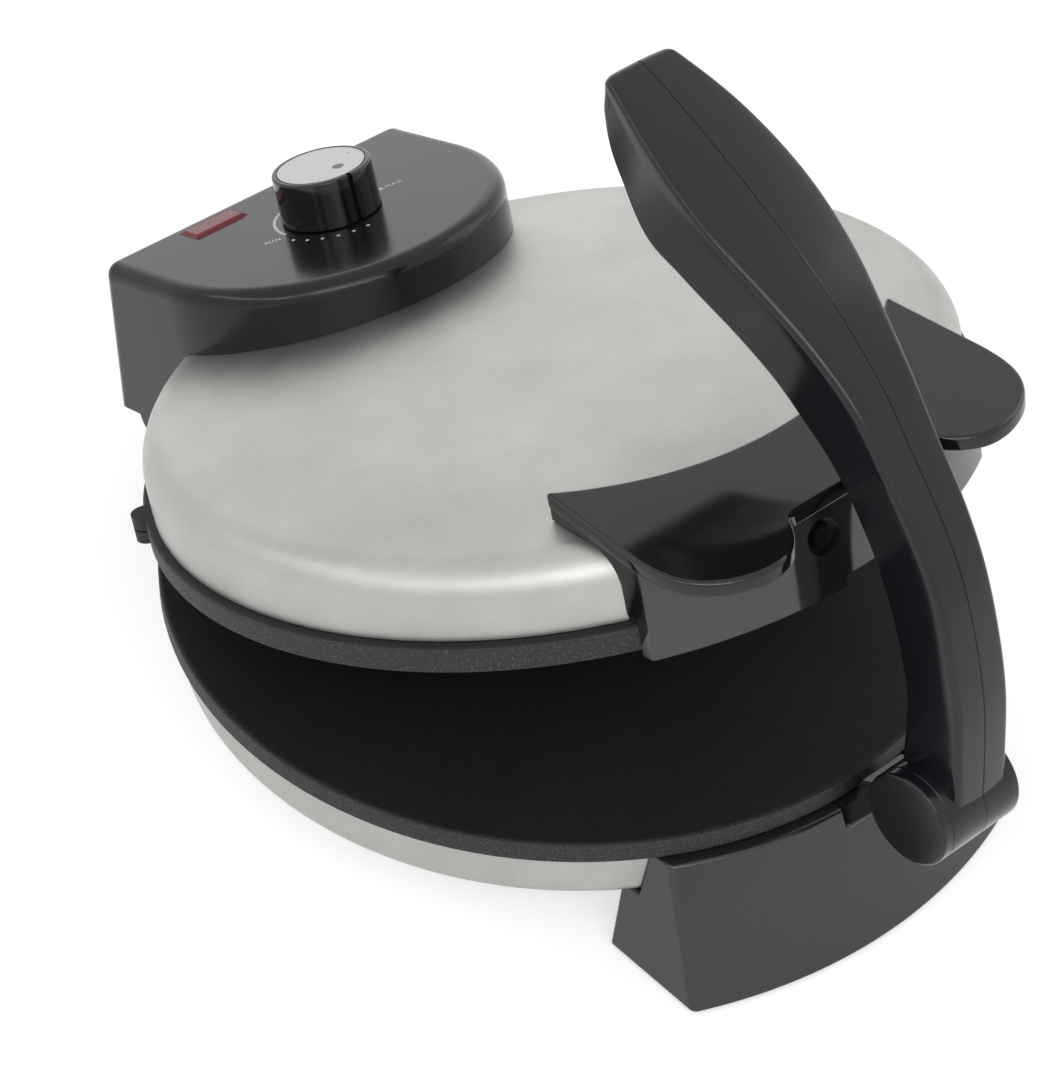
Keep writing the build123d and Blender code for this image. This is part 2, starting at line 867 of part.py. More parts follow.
with BuildPart() as upper_plate_shut:
    revolve(plate_disc(1, upper_rim_height, faces_apart), axis=plate_axis)
    fillet(upper_plate_shut.edges().filter_by(GeomType.CIRCLE).sort_by(SortBy.RADIUS)[-2:], plate_edge_round)
    revolve(heater_rib(1), axis=plate_axis)
    revolve(heater_circle(1, heater_tube + heater_seat_gap), axis=plate_axis, mode=Mode.SUBTRACT)
    with BuildSketch(plan(plate_web)):
        with Locations(*lid_post_places):
            Circle(post_radius)
    extrude(amount=lid_post_end - plate_web)
    with BuildSketch(plan(lid_post_end)):
        with Locations(*lid_post_places):
            Circle(screw_shank + screw_clearance)
    extrude(amount=-screw_grip, mode=Mode.SUBTRACT)
    with BuildSketch(plan(plate_web)):
        with Locations((-handle_screw_across, handle_block_back), (handle_screw_across, handle_block_back)):
            Rectangle(2 * handle_block_half, handle_block_length, align=(Align.CENTER, Align.MAX))
    extrude(amount=handle_block_height - plate_web)
    with BuildSketch(handle_screw_line.offset(handle_block_back)):
        with Locations((-handle_screw_across, 0), (handle_screw_across, 0)):
            Circle(screw_shank + screw_clearance)
    extrude(amount=-handle_block_length, mode=Mode.SUBTRACT)
    for low, high, lug in (
        (faces_apart, (upper_rim_height - lug_waist) / 2, lug_radius),
        (faces_apart, upper_rim_height, lug_radius - lug_waist),
        ((upper_rim_height + lug_waist) / 2, upper_rim_height, lug_radius),
    ):
        with BuildSketch(plan(low)):
            with PolarLocations(lug_reach, 2, 180 - lug_bearing, 2 * lug_bearing - 180, endpoint=True):
                Circle(lug)
        extrude(amount=high - low)
upper_plate = opened(upper_plate_shut.part)
upper_plate.label = "upper_plate"
export_step(upper_plate, "parts/upper_plate.step")

upper_heater = opened(heater_element(1))
upper_heater.label = "upper_heater"
export_step(upper_heater, "parts/upper_heater.step")

upper_fuse = opened(heat_fuse(1))
upper_fuse.label = "upper_thermal_fuse"
export_step(upper_fuse, "parts/upper_thermal_fuse.step")

with BuildPart() as upper_reflector_shut:
    revolve(
        dish_section(
            reflector_radius,
            plate_web + foot_seat_gap,
            reflector_depth,
            reflector_hole,
            reflector_bend,
            reflector_sheet,
        ),
        axis=plate_axis,
    )
    with BuildSketch(plan(reflector_depth)):
        with Locations(*lid_post_places):
            Circle(post_radius + foot_seat_gap)
        with PolarLocations(heater_ring, 2, heater_start, heater_sweep, endpoint=True):
            Circle(terminal_radius + terminal_gap)
    extrude(amount=reflector_sheet * 2, both=True, mode=Mode.SUBTRACT)
upper_reflector = opened(upper_reflector_shut.part)
upper_reflector.label = "upper_reflector"
export_step(upper_reflector, "parts/upper_reflector.step")

# ---------------------------------------------------------------- lid: cover
with BuildPart() as lid_cover_shut:
    add(cover_room(0))
    add(cover_room(sheet), mode=Mode.SUBTRACT)
    with BuildSketch(plan(upper_rim_height)):
        with Locations(*lid_post_places):
            Circle(screw_shank + screw_clearance)
        with Locations(*housing_screw_places):
            Circle(small_shank + screw_clearance)
        with Locations((0, wire_hole_back)):
            Circle(wire_hole_radius)
    extrude(amount=cover_top_height, mode=Mode.SUBTRACT)
    with BuildSketch(handle_screw_line):
        with Locations((-handle_screw_across, 0), (handle_screw_across, 0)):
            Circle(screw_shank + screw_clearance)
    extrude(amount=-plate_radius, mode=Mode.SUBTRACT)
lid_cover = opened(lid_cover_shut.part)
lid_cover.label = "lid_cover"
export_step(lid_cover, "parts/lid_cover.step")

lid_screws = spread(
    [opened(lid_screw(*spot, head_below=False)) for spot in lid_post_places],
    "lid_screws",
)
export_step(lid_screws, "parts/lid_screws.step")


# ---------------------------------------------------------------- lid: control housing
def housing_block(inset):
    """Control housing with its raked back and sloping top, drawn in by an inset."""
    half = housing_half - inset
    behind = housing_top_rear + housing_rake * (housing_top_height - housing_bottom)
    front_height = housing_top_height + panel_slope * (housing_top_rear - housing_arc_back + housing_half)
    with BuildPart(mode=Mode.PRIVATE) as block:
        with BuildSketch(plan(housing_bottom)):
            with BuildLine():
                front = ThreePointArc(
                    (half, housing_arc_back), (0, housing_arc_back - half), (-half, housing_arc_back)
                )
                Polyline(front @ 1, (-half, behind), (half, behind), front @ 0)
            make_face()
        extrude(amount=front_height * 2)
        with BuildSketch(across(0)):
            with BuildLine():
                Polyline(
                    (housing_arc_back - housing_half, housing_bottom),
                    (behind - inset, housing_bottom),
                    (housing_top_rear - inset, housing_top_height + panel_slope * inset - inset),
                    (housing_arc_back - housing_half, front_height - inset),
                    close=True,
                )
            make_face()
        extrude(amount=housing_half, both=True, mode=Mode.INTERSECT)
        rear_corners = block.edges().filter_by(lambda edge: abs(edge.tangent_at(0).Z) > 0.9).group_by(Axis.Y)[-1]
        fillet(rear_corners, housing_edge_round - inset)
        fillet(block.faces().sort_by(Axis.Z)[-1].edges(), housing_edge_round - inset)
    return block.part


with BuildPart() as control_housing_shut:
    add(housing_block(0))
    add(housing_block(housing_wall), mode=Mode.SUBTRACT)
    with BuildSketch(plan(cover_top_height / 2)):
        with Locations(*housing_screw_places):
            Circle(housing_boss)
    extrude(amount=panel_height - housing_roof / 2 - cover_top_height / 2)
    for over in (-1, 1):
        with BuildSketch(across(over * (hinge_across + ear_width / 2 + side_gap))):
            with Locations((hinge_back, -hinge_drop)):
                Circle(lid_boss_radius)
                Rectangle(2 * lid_boss_radius, lid_boss_height, align=(Align.CENTER, Align.MIN))
        extrude(amount=over * (housing_half - hinge_across - ear_width / 2 - side_gap))
        with BuildSketch(across(over * hinge_across)):
            with Locations((hinge_back, -hinge_drop)):
                Circle(hinge_pin + hinge_fit)
        extrude(amount=over * (housing_half - pin_end_wall - hinge_across), mode=Mode.SUBTRACT)
    add(cover_room(-cover_gap), mode=Mode.SUBTRACT)
    with BuildSketch(plan(housing_bottom - lid_boss_radius)):
        Circle(plate_radius + body_gap)
    extrude(amount=upper_rim_height + body_gap - housing_bottom + lid_boss_radius, mode=Mode.SUBTRACT)
    with BuildSketch(plan(cover_top_height / 2)):
        with Locations(*housing_screw_places):
            Circle(small_shank + screw_clearance)
    extrude(amount=small_pilot, mode=Mode.SUBTRACT)
    with BuildSketch(panel.offset(-housing_roof)):
        with Locations((knob_across, 0)):
            with GridLocations(2 * bracket_screw_across, 1, 2, 1):
                Circle(small_shank + screw_clearance)
    extrude(amount=bracket_grip - bracket_sheet, mode=Mode.SUBTRACT)
    with BuildSketch(panel):
        with Locations((knob_across, 0)):
            Circle(bushing_radius + bushing_gap)
        with Locations((lamp_across, lamp_back - knob_back)):
            Rectangle(lamp_length + 2 * lamp_fit, lamp_width + 2 * lamp_fit)
    extrude(amount=-housing_roof * 2, mode=Mode.SUBTRACT)
control_housing = opened(control_housing_shut.part)
control_housing.label = "control_housing"
export_step(control_housing, "parts/control_housing.step")

housing_screws = spread(
    [opened(lid_screw(*spot, head_below=True)) for spot in housing_screw_places],
    "housing_screws",
)
export_step(housing_screws, "parts/housing_screws.step")

# ---------------------------------------------------------------- lid: lamp and thermostat
lamp_face = panel.offset(-housing_roof)
with BuildPart() as lamp_lens_shut:
    with BuildSketch(lamp_face):
        with Locations((lamp_across, lamp_back - knob_back)):
            Rectangle(lamp_length, lamp_width)
    extrude(amount=housing_roof + lamp_proud)
    chamfer(lamp_lens_shut.faces().sort_by(Axis.Z)[-1].edges(), lamp_bevel)
lamp_lens = opened(lamp_lens_shut.part)
lamp_lens.label = "lamp_lens"
export_step(lamp_lens, "parts/lamp_lens.step")

with BuildPart() as lamp_body_shut:
    with BuildSketch(lamp_face):
        with Locations((lamp_across, lamp_back - knob_back)):
            Rectangle(lamp_length + 2 * lamp_rim, lamp_width + 2 * lamp_rim)
    extrude(amount=-lamp_body_height)
    with BuildSketch(lamp_face.offset(-lamp_body_height)):
        with Locations((lamp_across, lamp_back - knob_back)):
            with GridLocations(lamp_length / 2, 1, 2, 1):
                Rectangle(terminal_radius / 2, terminal_radius * 2)
    extrude(amount=-terminal_length / 2)
lamp_body = opened(lamp_body_shut.part)
lamp_body.label = "lamp_body"
export_step(lamp_body, "parts/lamp_body.step")

bracket_face = panel.offset(-housing_roof)
thermostat_face = panel.offset(-housing_roof - bracket_sheet)
with BuildPart() as bracket_shut:
    with BuildSketch(bracket_face):
        with Locations((knob_across, 0)):
            SlotOverall(2 * bracket_half, bracket_width)
            Circle(bushing_radius + bushing_gap, mode=Mode.SUBTRACT)
            with Locations((-bracket_screw_across, 0), (bracket_screw_across, 0)):
                Circle(small_shank + screw_clearance, mode=Mode.SUBTRACT)
    extrude(amount=-bracket_sheet)
thermostat_bracket = opened(bracket_shut.part)
thermostat_bracket.label = "thermostat_bracket"
export_step(thermostat_bracket, "parts/thermostat_bracket.step")

with BuildPart() as thermostat_shut:
    with BuildSketch(thermostat_face):
        with Locations((knob_across, 0)):
            Circle(thermostat_radius)
    extrude(amount=-thermostat_height)
    chamfer(thermostat_shut.edges().group_by(Axis.Z)[0], bracket_sheet)
    with BuildSketch(thermostat_face):
        with Locations((knob_across, 0)):
            Circle(bushing_radius)
    extrude(amount=housing_roof + bracket_sheet)
    with BuildSketch(thermostat_face.offset(-thermostat_height / 2)):
        with Locations((knob_across - thermostat_radius, 0), (knob_across + thermostat_radius, 0)):
            Rectangle(terminal_length / 2, terminal_radius * 3)
    extrude(amount=-bracket_sheet)
    with BuildSketch(panel):
        with Locations((knob_across, 0)):
            Circle(shaft_radius + shaft_fit)
    extrude(amount=-shaft_depth - pin_end_gap, mode=Mode.SUBTRACT)
thermostat = opened(thermostat_shut.part)
thermostat.label = "thermostat"
export_step(thermostat, "parts/thermostat.step")

bracket_screws = spread(
    [
        opened(
            screw(
                thermostat_face, small_shank, small_head, small_head_height, bracket_grip
            ).moved(Location((knob_across + over * bracket_screw_across, 0, 0)))
        )
        for over in (-1, 1)
    ],
    "bracket_screws",
)
export_step(bracket_screws, "parts/bracket_screws.step")

# ---------------------------------------------------------------- knob, its cap and the shaft
knob_seat = panel.offset(knob_lift)
knob_top = panel.offset(knob_lift + knob_height)


def shaft_outline(plane, grown):
    """Round shaft with one flat, grown for the fit round it."""
    with BuildSketch(plane) as outline:
        with Locations((knob_across, 0)):
            Circle(shaft_radius + grown)
        with Locations((knob_across, shaft_flat + grown)):
            Rectangle(4 * shaft_radius, 2 * shaft_radius, align=(Align.CENTER, Align.MIN), mode=Mode.SUBTRACT)
    return outline.sketch


with BuildPart() as knob_shut:
    with BuildSketch(knob_seat):
        with Locations((knob_across, 0)):
            Circle(knob_radius)
    extrude(amount=knob_height, taper=knob_draft)
    with BuildSketch(knob_seat):
        with Locations((knob_across, 0)):
            Circle(knob_radius - knob_wall)
            Circle(knob_hub_radius, mode=Mode.SUBTRACT)
    extrude(amount=knob_height - knob_wall - knob_cap_sheet, taper=knob_draft, mode=Mode.SUBTRACT)
    with BuildSketch(knob_top):
        with Locations((knob_across, 0)):
            Circle(knob_cap_radius)
    extrude(amount=-knob_cap_sheet, mode=Mode.SUBTRACT)
    fillet(knob_shut.edges().group_by(Axis.Z)[-1], knob_rim)
    with BuildSketch(knob_seat):
        with Locations((knob_across, 0)):
            with PolarLocations(knob_radius - pointer_depth, 1, pointer_bearing):
                Rectangle(2 * pointer_depth, pointer_width)
    extrude(amount=knob_height, mode=Mode.SUBTRACT)
    extrude(shaft_outline(knob_seat, shaft_seat), amount=knob_bore_depth, mode=Mode.SUBTRACT)
knob = opened(knob_shut.part)
knob.label = "knob"
export_step(knob, "parts/knob.step")

with BuildPart() as knob_cap_shut:
    with BuildSketch(knob_top):
        with Locations((knob_across, 0)):
            Circle(knob_cap_radius - pin_seat)
    extrude(amount=-knob_cap_sheet)
knob_cap = opened(knob_cap_shut.part)
knob_cap.label = "knob_cap"
export_step(knob_cap, "parts/knob_cap.step")

with BuildPart() as shaft_shut:
    with BuildSketch(panel.offset(-shaft_depth)):
        with Locations((knob_across, 0)):
            Circle(shaft_radius)
    extrude(amount=shaft_depth)
    extrude(shaft_outline(panel, 0), amount=knob_lift + knob_bore_depth - pin_end_gap)
thermostat_shaft = opened(shaft_shut.part)
thermostat_shaft.label = "thermostat_shaft"
export_step(thermostat_shaft, "parts/thermostat_shaft.step")

# ---------------------------------------------------------------- front handle on the lid
wing_inner_radius = (wing_tip_across**2 + (wing_tip_back - wing_waist_back) ** 2) / (
    2 * (wing_tip_back - wing_waist_back)
)
wing_inner_centre = wing_waist_back + wing_inner_radius


def wing_top(back):
    """Height of the sloping top of the handle at a distance back."""
    return wing_tip_height + wing_slope * (back - wing_tip_back)


def wing_slab(thickness):
    """Everything between the sloping top of the handle and a level that far under it."""
    with BuildPart(mode=Mode.PRIVATE) as slab:
        with BuildSketch(across(0)):
            with BuildLine():
                Polyline(
                    (wing_far_back, wing_top(wing_far_back)),
                    (wing_near_back, wing_top(wing_near_back)),
                    (wing_near_back, wing_top(wing_near_back) - thickness),
                    (wing_far_back, wing_top(wing_far_back) - thickness),
                    close=True,
                )
            make_face()
        extrude(amount=plate_radius, both=True)
    return slab.part


def wing_outline():
    """Outline of the handle from above: two horns that reach back, and a finger hold each side."""
    with BuildSketch(plan(0)) as outline:
        with BuildLine():
            inner = ThreePointArc(
                (wing_tip_across, wing_tip_back), (0, wing_waist_back), (-wing_tip_across, wing_tip_back)
            )
            left = Spline(inner @ 1, *[(-over, behind) for over, behind in wing_edge])
            saddle = Line(left @ 1, wing_edge[-1])
            Spline(saddle @ 1, *wing_edge[-2::-1], inner @ 0)
        make_face()
    return outline.sketch


with BuildPart() as handle_skirt:
    with BuildSketch(plan(skirt_bottom)):
        Circle(skirt_radius)
        Circle(skirt_radius - handle_wall, mode=Mode.SUBTRACT)
        Rectangle(2 * skirt_half, skirt_radius, align=(Align.CENTER, Align.MAX), mode=Mode.INTERSECT)
    extrude(amount=wing_tip_height)
    with BuildSketch(plan(skirt_bottom)):
        Circle(skirt_radius)
        Circle(cover_radius, mode=Mode.SUBTRACT)
        with Locations((-skirt_half, 0)):
            end_left = Rectangle(handle_wall, skirt_radius, align=(Align.MIN, Align.MAX), mode=Mode.PRIVATE)
        with Locations((skirt_half, 0)):
            end_right = Rectangle(handle_wall, skirt_radius, align=(Align.MAX, Align.MAX), mode=Mode.PRIVATE)
        add([end_left, end_right], mode=Mode.INTERSECT)
    extrude(amount=wing_tip_height)
    with BuildSketch(handle_screw_line.offset(-skirt_radius)):
        with Locations((-handle_screw_across, 0), (handle_screw_across, 0)):
            Circle(handle_boss_radius)
    extrude(amount=plate_rim_wall)
    with BuildSketch(plan(skirt_bottom)):
        Circle(skirt_radius)
    extrude(amount=wing_tip_height, mode=Mode.INTERSECT)
    add(wing_slab(plate_radius), mode=Mode.INTERSECT)
    add(cover_room(-skirt_gap), mode=Mode.SUBTRACT)
    with BuildSketch(plan(skirt_bottom)):
        Circle(plate_radius + skirt_gap)
    extrude(amount=upper_rim_height + body_gap - skirt_bottom, mode=Mode.SUBTRACT)
    with BuildSketch(plan(skirt_bottom)):
        Rectangle(2 * skirt_notch_half, 2 * skirt_radius)
    extrude(amount=skirt_notch_height, mode=Mode.SUBTRACT)

with BuildPart() as front_handle_shut:
    add(wing_outline())
    extrude(amount=wing_tip_height * 2)
    add(wing_slab(wing_thickness), mode=Mode.INTERSECT)
    with BuildSketch(plan(cover_top_height / 2)) as inner_wall:
        with Locations((0, wing_inner_centre)):
            Circle(wing_inner_radius + handle_wall)
            Circle(wing_inner_radius, mode=Mode.SUBTRACT)
        add(wing_outline(), mode=Mode.INTERSECT)
    extrude(amount=wing_tip_height / 2 - wing_thickness)
    add(cover_room(-skirt_gap), mode=Mode.SUBTRACT)
    add(handle_skirt.part)
    with BuildSketch(handle_screw_line.offset(-skirt_radius)):
        with Locations((-handle_screw_across, 0), (handle_screw_across, 0)):
            Circle(handle_recess_radius)
    extrude(amount=handle_recess_depth, mode=Mode.SUBTRACT)
    with BuildSketch(handle_screw_line.offset(-skirt_radius)):
        with Locations((-handle_screw_across, 0), (handle_screw_across, 0)):
            Circle(screw_shank + screw_clearance)
    extrude(amount=2 * plate_rim_wall, mode=Mode.SUBTRACT)
front_handle = opened(front_handle_shut.part)
front_handle.label = "front_handle"
export_step(front_handle, "parts/front_handle.step")

handle_screw = screw(
    handle_screw_line.offset(handle_recess_depth - skirt_radius),
    screw_shank,
    screw_head,
    screw_head_height,
    handle_screw_grip,
)
handle_screws = spread(
    [opened(handle_screw.moved(Location((over * handle_screw_across, 0, 0)))) for over in (-1, 1)],
    "handle_screws",
)
export_step(handle_screws, "parts/handle_screws.step")


# ---------------------------------------------------------------- lever
def lever_plane(index):
    """Plane square to the lever's outer line at a station, with its y axis running into the lever."""
    before = lever_stations[max(index - 1, 0)]
    after = lever_stations[min(index + 1, len(lever_stations) - 1)]
    here = lever_stations[index]
    return Plane(
        (0, plate_back + here[0], face_height + here[1]),
        x_dir=(1, 0, 0),
        z_dir=(0, after[0] - before[0], after[1] - before[1]),
    )


def lever_section(index):
    """Half section of the lever: crowned face, rounded edges, a groove under the face, tapered side."""
    half, depth = lever_stations[index][2:]
    lean = half * (1 - lever_inner_share) / depth
    groove_end = groove_top + groove_width
    with BuildSketch(lever_plane(index)) as outline:
        with BuildLine():
            ThreePointArc((0, 0), (half / 2, lever_crown / 4), (half, lever_crown))
            Polyline(
                (half, lever_crown),
                (half - lean * groove_top, groove_top),
                (half - lean * groove_top - groove_depth, groove_top),
                (half - lean * groove_end - groove_depth, groove_end),
                (half - lean * groove_end, groove_end),
                (half * lever_inner_share, depth),
                (0, depth),
                (0, 0),
            )
        make_face()
        face_edge = outline.vertices().sort_by_distance((half, lever_crown))[0]
        back_edge = outline.vertices().sort_by_distance((half * lever_inner_share, depth))[0]
        fillet([face_edge, back_edge], lever_edge_round)
    return outline.sketch


def lever_room(index):
    """Half section of the room inside the lever."""
    half, depth = lever_stations[index][2:]
    with BuildSketch(lever_plane(index)) as outline:
        with BuildLine():
            Polyline(
                (0, lever_wall),
                (half - lever_wall, lever_wall + lever_crown),
                (half * lever_inner_share - lever_wall, depth - lever_wall),
                (0, depth - lever_wall),
                close=True,
            )
        make_face()
    return outline.sketch


def lever_middle(index):
    """Point halfway into the lever at a station, in the side plane."""
    middle = lever_plane(index).from_local_coords((0, lever_stations[index][3] / 2, 0))
    return (middle.Y - plate_back, middle.Z - face_height)


window_angles = [
    math.radians(window_from + (window_to - window_from) * step / window_steps)
    for step in range(window_steps + 1)
]

with BuildPart() as lever_half:
    loft([lever_section(index) for index in range(len(lever_stations))])
    loft(
        [lever_room(index) for index in range(lever_room_first, len(lever_stations) - 1)],
        mode=Mode.SUBTRACT,
    )
    for index in lever_screw_stations:
        with BuildSketch(across(0)):
            with Locations(lever_middle(index)):
                Circle(lever_boss_radius)
        extrude(amount=lever_stations[index][2] * lever_inner_share - lever_wall / 2)
    with BuildSketch(across(0)):
        with Locations((pivot_back, pivot_height)):
            Circle(barrel_radius)
    extrude(amount=barrel_half)
    with BuildSketch(across(0)):
        with Locations((pivot_back, pivot_height)):
            Circle(barrel_bore)
    extrude(amount=barrel_half - barrel_end_wall, mode=Mode.SUBTRACT)
    with BuildSketch(across(0)):
        with Locations((pivot_back, pivot_height)):
            Circle(pivot_pin + pivot_fit)
    extrude(amount=barrel_half, mode=Mode.SUBTRACT)
    with BuildSketch(across(0)):
        with BuildLine():
            Polyline(
                (pivot_back, pivot_height),
                *[
                    (
                        pivot_back + window_reach * math.cos(angle),
                        pivot_height + window_reach * math.sin(angle),
                    )
                    for angle in window_angles
                ],
                close=True,
            )
        make_face()
    extrude(amount=window_half, mode=Mode.SUBTRACT)

with BuildPart() as lever_right_shell:
    add(lever_half.part)
    for index in lever_screw_stations:
        well = lever_stations[index][2] - lever_well
        with BuildSketch(across(0)):
            with Locations(lever_middle(index)):
                Circle(small_shank + screw_clearance)
        extrude(amount=well, mode=Mode.SUBTRACT)
        with BuildSketch(across(well)):
            with Locations(lever_middle(index)):
                Circle(small_head + screw_clearance)
        extrude(amount=2 * lever_well, mode=Mode.SUBTRACT)
lever_right_shell.part.label = "lever_right_shell"
export_step(lever_right_shell.part, "parts/lever_right_shell.step")

with BuildPart() as lever_left_shell:
    mirror(lever_half.part, about=Plane.YZ)
    with BuildSketch(across(0)):
        with Locations(*[lever_middle(index) for index in lever_screw_stations]):
            Circle(small_shank + screw_clearance)
    extrude(amount=-lever_bite, mode=Mode.SUBTRACT)
lever_left_shell.part.label = "lever_left_shell"
export_step(lever_left_shell.part, "parts/lever_left_shell.step")

lever_screws = spread(
    [
        screw(
            -across(lever_stations[index][2] - lever_well),
            small_shank,
            small_head,
            small_head_height,
            lever_stations[index][2] - lever_well + lever_bite - pin_end_gap,
        ).moved(Location((0, *lever_middle(index))))
        for index in lever_screw_stations
    ],
    "lever_screws",
)
export_step(lever_screws, "parts/lever_screws.step")

with BuildPart() as lever_pivot_cap:
    with BuildSketch(across(-barrel_half)):
        with Locations((pivot_back, pivot_height)):
            Circle(barrel_radius - pin_seat)
    extrude(amount=-pivot_cap_thickness)
    fillet(lever_pivot_cap.faces().sort_by(Axis.X)[0].edges(), pivot_cap_round)
lever_pivot_cap.part.label = "lever_pivot_cap"
export_step(lever_pivot_cap.part, "parts/lever_pivot_cap.step")
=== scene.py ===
"""Looks of the electric roti maker: finishes, finer surfaces, dial print, camera and studio."""

import json
import math

import bmesh
import bpy
import numpy as np
from mathutils import Matrix, Vector
from mathutils.geometry import tessellate_polygon


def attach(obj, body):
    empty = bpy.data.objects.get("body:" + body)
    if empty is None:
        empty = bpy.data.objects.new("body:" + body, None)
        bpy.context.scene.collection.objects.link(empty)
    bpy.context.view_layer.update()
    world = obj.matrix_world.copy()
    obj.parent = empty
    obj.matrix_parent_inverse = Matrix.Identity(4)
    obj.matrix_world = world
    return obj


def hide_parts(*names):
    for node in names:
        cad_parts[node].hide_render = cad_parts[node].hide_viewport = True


bl_info = {
    "name": "Roti maker looks",
    "version": (1, 0, 0),
    "blender": (4, 5, 0),
    "location": "View3D > Sidebar > Roti maker",
    "description": "Finishes and fine surfaces of an electric roti maker over its packed solids",
    "category": "Object",
}

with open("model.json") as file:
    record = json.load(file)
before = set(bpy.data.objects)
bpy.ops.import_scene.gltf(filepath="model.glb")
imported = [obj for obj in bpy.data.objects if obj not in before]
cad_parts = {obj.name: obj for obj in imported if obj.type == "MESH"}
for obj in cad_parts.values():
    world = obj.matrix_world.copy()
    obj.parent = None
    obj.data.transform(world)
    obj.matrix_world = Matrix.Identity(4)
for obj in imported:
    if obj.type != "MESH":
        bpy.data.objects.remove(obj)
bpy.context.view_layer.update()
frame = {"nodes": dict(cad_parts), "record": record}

MM = 0.001
PLATE_BACK = 7.75
FACE_HEIGHT = 48.0
HINGE = np.array([0.0, PLATE_BACK + 121.4, FACE_HEIGHT - 2.5])
LID_ANGLE = math.radians(16)


# ---------------------------------------------------------------- places
def base_place(points):
    """Millimetres about the lower plate's middle to metres in the row frame."""
    return (np.asarray(points, float) + [0.0, PLATE_BACK, FACE_HEIGHT]) * MM


def lid_place(points):
    """Millimetres about the shut lid's middle to metres in the row frame, turned open about the hinge."""
    points = np.asarray(points, float) + [0.0, PLATE_BACK, FACE_HEIGHT] - HINGE
    y, z = points[..., 1], points[..., 2]
    cos, sin = math.cos(LID_ANGLE), math.sin(LID_ANGLE)
    turned = np.stack([points[..., 0], y * cos + z * sin, z * cos - y * sin], axis=-1)
    return (turned + HINGE) * MM


# ---------------------------------------------------------------- meshes
def finished(mesh, angle=30.0):
    """Merge doubles, drop flat faces, point the normals out and smooth across edges under an angle."""
    work = bmesh.new()
    work.from_mesh(mesh)
    bmesh.ops.remove_doubles(work, verts=work.verts, dist=1e-7)
    bmesh.ops.dissolve_degenerate(work, dist=1e-8, edges=work.edges)
    bmesh.ops.recalc_face_normals(work, faces=work.faces)
    for face in work.faces:
        face.smooth = True
    for edge in work.edges:
        edge.smooth = edge.calc_face_angle(0.0) < math.radians(angle)
    work.to_mesh(mesh)
    work.free()
    return mesh


def piece(name, mesh, body, material):
    """New object of a mesh that rides on a body."""
    thing = bpy.data.objects.new(name, mesh)
    bpy.context.scene.collection.objects.link(thing)
    mesh.materials.clear()
    mesh.materials.append(material)
    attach(thing, body)
    return thing


def tube(points, capped):
    """Vertices and faces of a grid whose loops are closed; capped ends get one face each, others join."""
    rows, columns = points.shape[:2]
    index = np.arange(rows * columns).reshape(rows, columns)
    around = np.hstack([index, index[:, :1]])
    if not capped:
        around = np.vstack([around, around[:1]])
    faces = np.stack([around[:-1, :-1], around[1:, :-1], around[1:, 1:], around[:-1, 1:]], axis=-1)
    faces = faces.reshape(-1, 4).tolist()
    if capped:
        faces += [index[0].tolist(), index[-1][::-1].tolist()]
    return points.reshape(-1, 3), faces


def tiled_tube(points):
    """A tube of level-ish loops whose two ends are closed by triangles of their outlines from above."""
    vertices, faces = tube(points, True)
    faces = faces[:-2]
    for row in (0, len(points) - 1):
        outline = [Vector((across, back, 0.0)) for across, back, _ in points[row]]
        start = row * points.shape[1]
        faces += [[corner + start for corner in tile] for tile in tessellate_polygon([outline])]
    return vertices, faces


def joined_mesh(name, parts, place):
    """One mesh of several closed shells, each a pair of vertices and faces in millimetres."""
    vertices, faces, start = [], [], 0
    for points, around in parts:
        vertices.append(points)
        faces += [[corner + start for corner in face] for face in around]
        start += len(points)
    mesh = bpy.data.meshes.new(name)
    mesh.from_pydata(place(np.vstack(vertices)).tolist(), [], faces)
    return finished(mesh, 38)


def arc(centre, radius, start, end, count):
    """Points on a circle's arc from a start to an end angle in degrees."""
    angle = np.radians(np.linspace(start, end, count))
    return np.stack([centre[0] + radius * np.cos(angle), centre[1] + radius * np.sin(angle)], axis=-1)


# ---------------------------------------------------------------- materials
class Wire:
    """A node's output; arithmetic on it adds Math nodes."""

    def __init__(self, shader, socket):
        self.shader = shader
        self.socket = socket

    def _maths(self, operation, first, second):
        return self.shader.add("ShaderNodeMath", {"operation": operation}, {0: first, 1: second})

    def __add__(self, other):
        return self._maths("ADD", self, other)

    __radd__ = __add__

    def __sub__(self, other):
        return self._maths("SUBTRACT", self, other)

    def __rsub__(self, other):
        return self._maths("SUBTRACT", other, self)

    def __mul__(self, other):
        return self._maths("MULTIPLY", self, other)

    __rmul__ = __mul__

    def __truediv__(self, other):
        return self._maths("DIVIDE", self, other)

    def __pow__(self, other):
        return self._maths("POWER", self, other)

    def above(self, edge):
        return self._maths("GREATER_THAN", self, edge)


